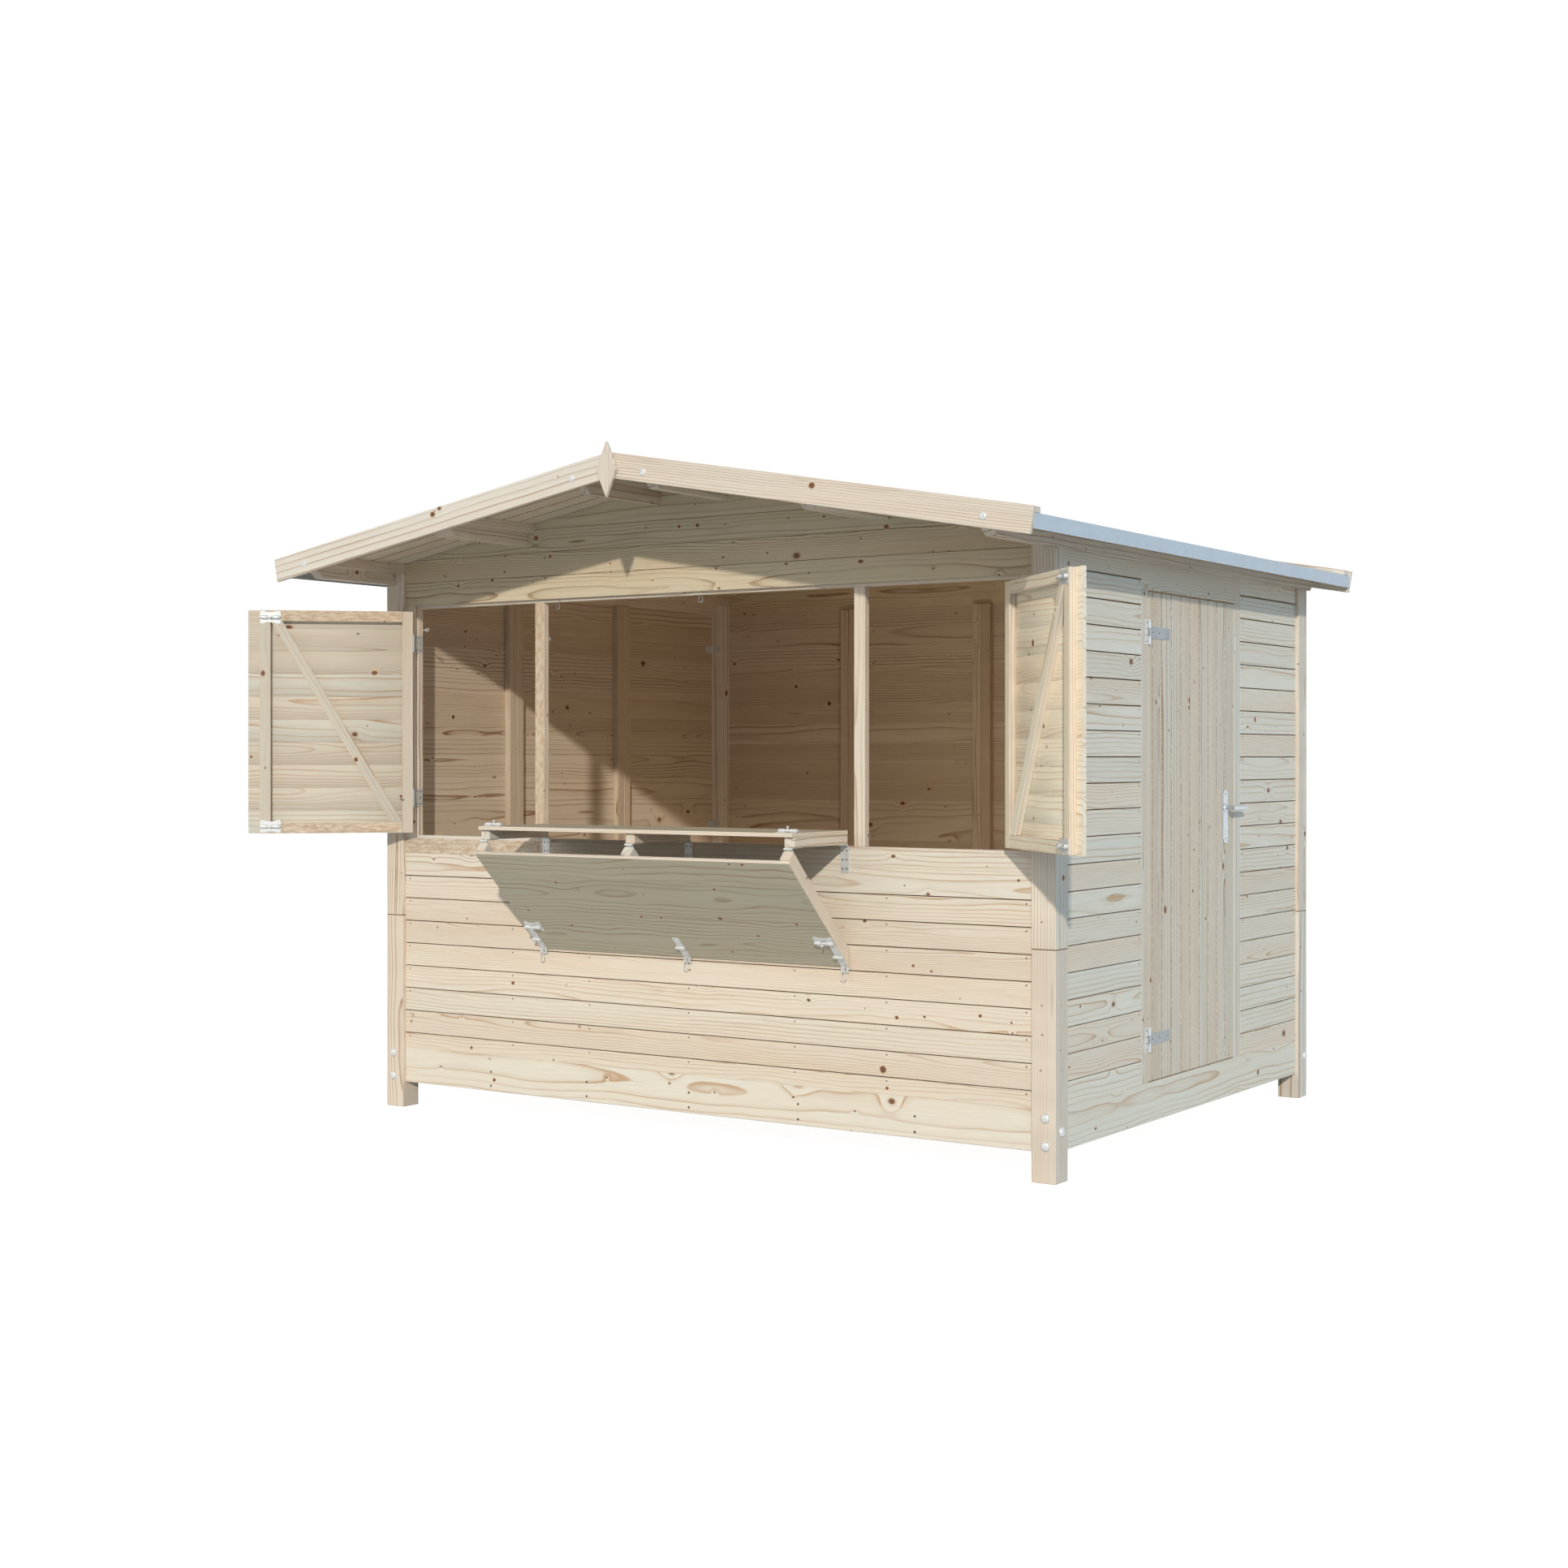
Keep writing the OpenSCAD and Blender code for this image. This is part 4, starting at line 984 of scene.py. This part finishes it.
# Nails at the studs, one near the top of every wall board, and screws through the bearers into the joists
below_joint = 0.013
uprights = (-1.385, -0.845, -0.465, 0.0, 0.465, 0.845, 1.385)
for (node, out, first), lines in zip(walls, (uprights, uprights, (0.110, 0.707, 1.480, 2.190), (0.110, 0.682),
                                             (1.635, 2.190))):
    plane = span(node, 0 if out.x else 1)[1 if sum(out) > 0 else 0]
    fitted(tack, node + "_nails",
           [seat(on_wall(out, plane, line, joint - below_joint), Z, out)
            for joint in rows(node, 2, first) for line in lines], slot="wood_boards")
fitted(bearer_screw, "bearer_screws",
       [seat((x, y, z), X, Y * way) for x in (-0.957, -0.479, 0.0, 0.479, 0.957) for z in (0.121, 0.175)
        for y, way in zip(span("bearers", 1), SIDES)], slot="wood_boards")

# The clearest knots, by the face that they are in: run along the face, height and half lengths
for name, body, slot, along, out, plane, spots in (
    ("front_wall_knots", "stall", "wood_boards", X, -Y, wall_front, (
        (0.831, 0.325, 17, 17), (0.886, 0.508, 9, 8), (0.996, 0.518, 6, 6), (1.212, 0.535, 8, 7), (1.330, 0.520, 5, 5),
        (-0.844, 0.529, 10, 9), (-1.058, 0.262, 8, 9), (-0.940, 0.145, 9, 9), (1.356, 0.994, 7, 6),
        (0.951, 0.690, 7, 6), (0.847, 0.262, 8, 7))),
    ("gable_knots", "stall", "wood_boards", X, -Y, wall_front, (
        (-0.044, 2.251, 9, 8), (0.039, 2.251, 11, 9), (-0.950, 2.096, 10, 8), (0.844, 2.199, 14, 11),
        (0.588, 2.250, 7, 6), (-0.658, 2.173, 9, 8), (0.740, 2.084, 16, 8), (0.348, 2.133, 6, 5), (0.525, 2.054, 6, 5),
        (-0.365, 2.131, 5, 5))),
    ("bargeboard_knots", "stall", "wood_trim", X, -Y, -bargeboard_face, (
        (-0.824, 2.300, 15, 13), (0.845, 2.292, 16, 13))),
    ("side_wall_knots", "stall", "wood_boards", Y, X, wall_side, (
        (1.767, 1.553, 12, 15), (1.686, 0.860, 9, 9), (1.799, 0.156, 12, 14), (0.210, 0.566, 7, 7),
        (1.807, 1.092, 6, 7), (0.127, 0.371, 7, 5), (0.360, 1.579, 7, 6), (0.328, 0.139, 10, 6))),
    ("post_front_knots", "stall", "wood_frame", X, -Y, front, ((1.449, 0.861, 5, 3), (1.451, 0.490, 4, 4))),
    ("post_side_knots", "stall", "wood_frame", Y, X, post_side, (
        (0.056, 1.005, 12, 12), (0.033, 0.439, 5, 4), (2.230, 0.621, 8, 5), (2.238, 0.440, 5, 4))),
    ("door_knots", "door", "wood_door", Z, X, wall_side, (
        (0.904, 0.851, 19, 15), (1.154, 0.906, 9, 8), (1.119, 1.587, 9, 9), (1.277, 0.796, 9, 7),
        (0.777, 0.606, 11, 9), (0.936, 1.501, 6, 6), (1.164, 1.059, 7, 6))),
    ("rear_wall_inner_knots", "stall", "wood_boards", X, -Y, wall_rear_inner, (
        (-0.830, 1.658, 15, 15), (-1.018, 1.742, 12, 12))),
    ("left_wall_inner_knots", "stall", "wood_boards", Y, X, -wall_side_inner, (
        (0.361, 1.572, 12, 12), (0.205, 1.544, 7, 6), (0.433, 1.868, 8, 6), (0.495, 1.237, 8, 6),
        (0.632, 1.839, 7, 6))),
):
    fitted(knot, name, [oval(seat(on_wall(out, plane, run, height), along, out), long, wide)
                        for run, height, long, wide in spots], body, slot)
fitted(knot, "flap_knots", [oval(seat(on_flap(x, along), X, out_of_flap), 9, 7) for x, along in (
    (-0.093, 0.329), (-0.004, 0.329), (0.316, 0.161), (0.500, 0.026), (-0.394, 0.158), (-0.625, 0.323),
    (0.383, 0.403), (0.580, 0.328), (-0.459, 0.400))], "counter_flap", "wood_counter")
for pattern in [piece for piece in scene.objects if "_pattern" in piece.name]:
    bpy.data.objects.remove(pattern)


# Studio

def seen_itself(bench):
    """1 for rays that look, straight or in a mirror, and 0 for rays that carry light."""
    path = bench.add("LightPath").outputs
    return bench.math("MAXIMUM", path["Is Camera Ray"],
                      bench.math("MAXIMUM", path["Is Glossy Ray"], path["Is Transmission Ray"]))


def studio_floor():
    """A floor that looks white and gives back less than half of its light."""
    floor = begin("plane", "studio_floor", size=60, location=(0, 0, -0.001))
    material, bench = blank("Pale studio floor")
    floor.data.materials.append(coat(material, (0.45, 0.45, 0.44, 1), 0.9, others=[
        ("Emission Color", (1, 1, 1, 1)), ("Emission Strength", bench.times(seen_itself(bench), 0.95))]))


def studio_light():
    """A white surround that gives a cool, weak light, the sun, a cool sky on the right and a weak sun on the left."""
    world = scene.world = bpy.data.worlds.new("Studio")
    world.use_nodes = True
    bench = Bench(world.node_tree)
    soft = world.node_tree.nodes["Background"]
    bench.put(soft.inputs["Color"], (0.78, 0.90, 1.0, 1))
    bench.put(soft.inputs["Strength"], 0.38)
    white = bench.add("Background", (1, 1, 1, 1), 1.0)
    both = bench.add("MixShader", seen_itself(bench), soft.outputs[0], white.outputs[0])
    bench.put(world.node_tree.nodes["World Output"].inputs[0], both.outputs[0])
    for place, toward, energy, angle, colour in (
        ((4, -6, 5), (0.288, -0.490, 0.231), 2.13, 1.5, (1.0, 0.94, 0.84)),
        ((6, 1, 4), (0.95, 0.25, 0.30), 0.78, 100, (0.22, 0.64, 1.0)),
        ((-4, -6, 3), (-0.55, -0.72, 0.38), 0.42, 40, (1.0, 0.93, 0.82)),
    ):
        bpy.ops.object.light_add(type="SUN", location=place)
        lamp = bpy.context.object
        lamp.data.energy, lamp.data.angle, lamp.data.color = energy, math.radians(angle), colour
        lamp.rotation_euler = Vector(toward).to_track_quat("Z", "Y").to_euler()


def inner_fill():
    """A weak warm lamp in the room, for the light that its lit boards give back."""
    bpy.ops.object.light_add(type="POINT", radius=0.45, location=(0.35, 0.15, 1.25))
    lamp = bpy.context.object
    lamp.data.energy, lamp.data.color = 8.0, (1.0, 0.86, 0.68)
    lamp.visible_camera = lamp.visible_glossy = False


def viewpoint():
    """The camera fitted to the photograph, with its focal length and centre in the photograph's pixels."""
    picture, focal, centre_height = 1932, 2703.33, 934.04
    bpy.ops.object.camera_add(location=(4.7553, -7.4492, 1.4006), rotation=(math.pi / 2, 0, math.radians(33.753)))
    scene.camera = bpy.context.object
    camera = scene.camera.data
    camera.sensor_width = 36
    camera.lens = 36 * focal / picture
    camera.shift_y = (centre_height - picture / 2) / picture


studio_floor()
studio_light()
inner_fill()
viewpoint()
scene.view_settings.view_transform = "Standard"
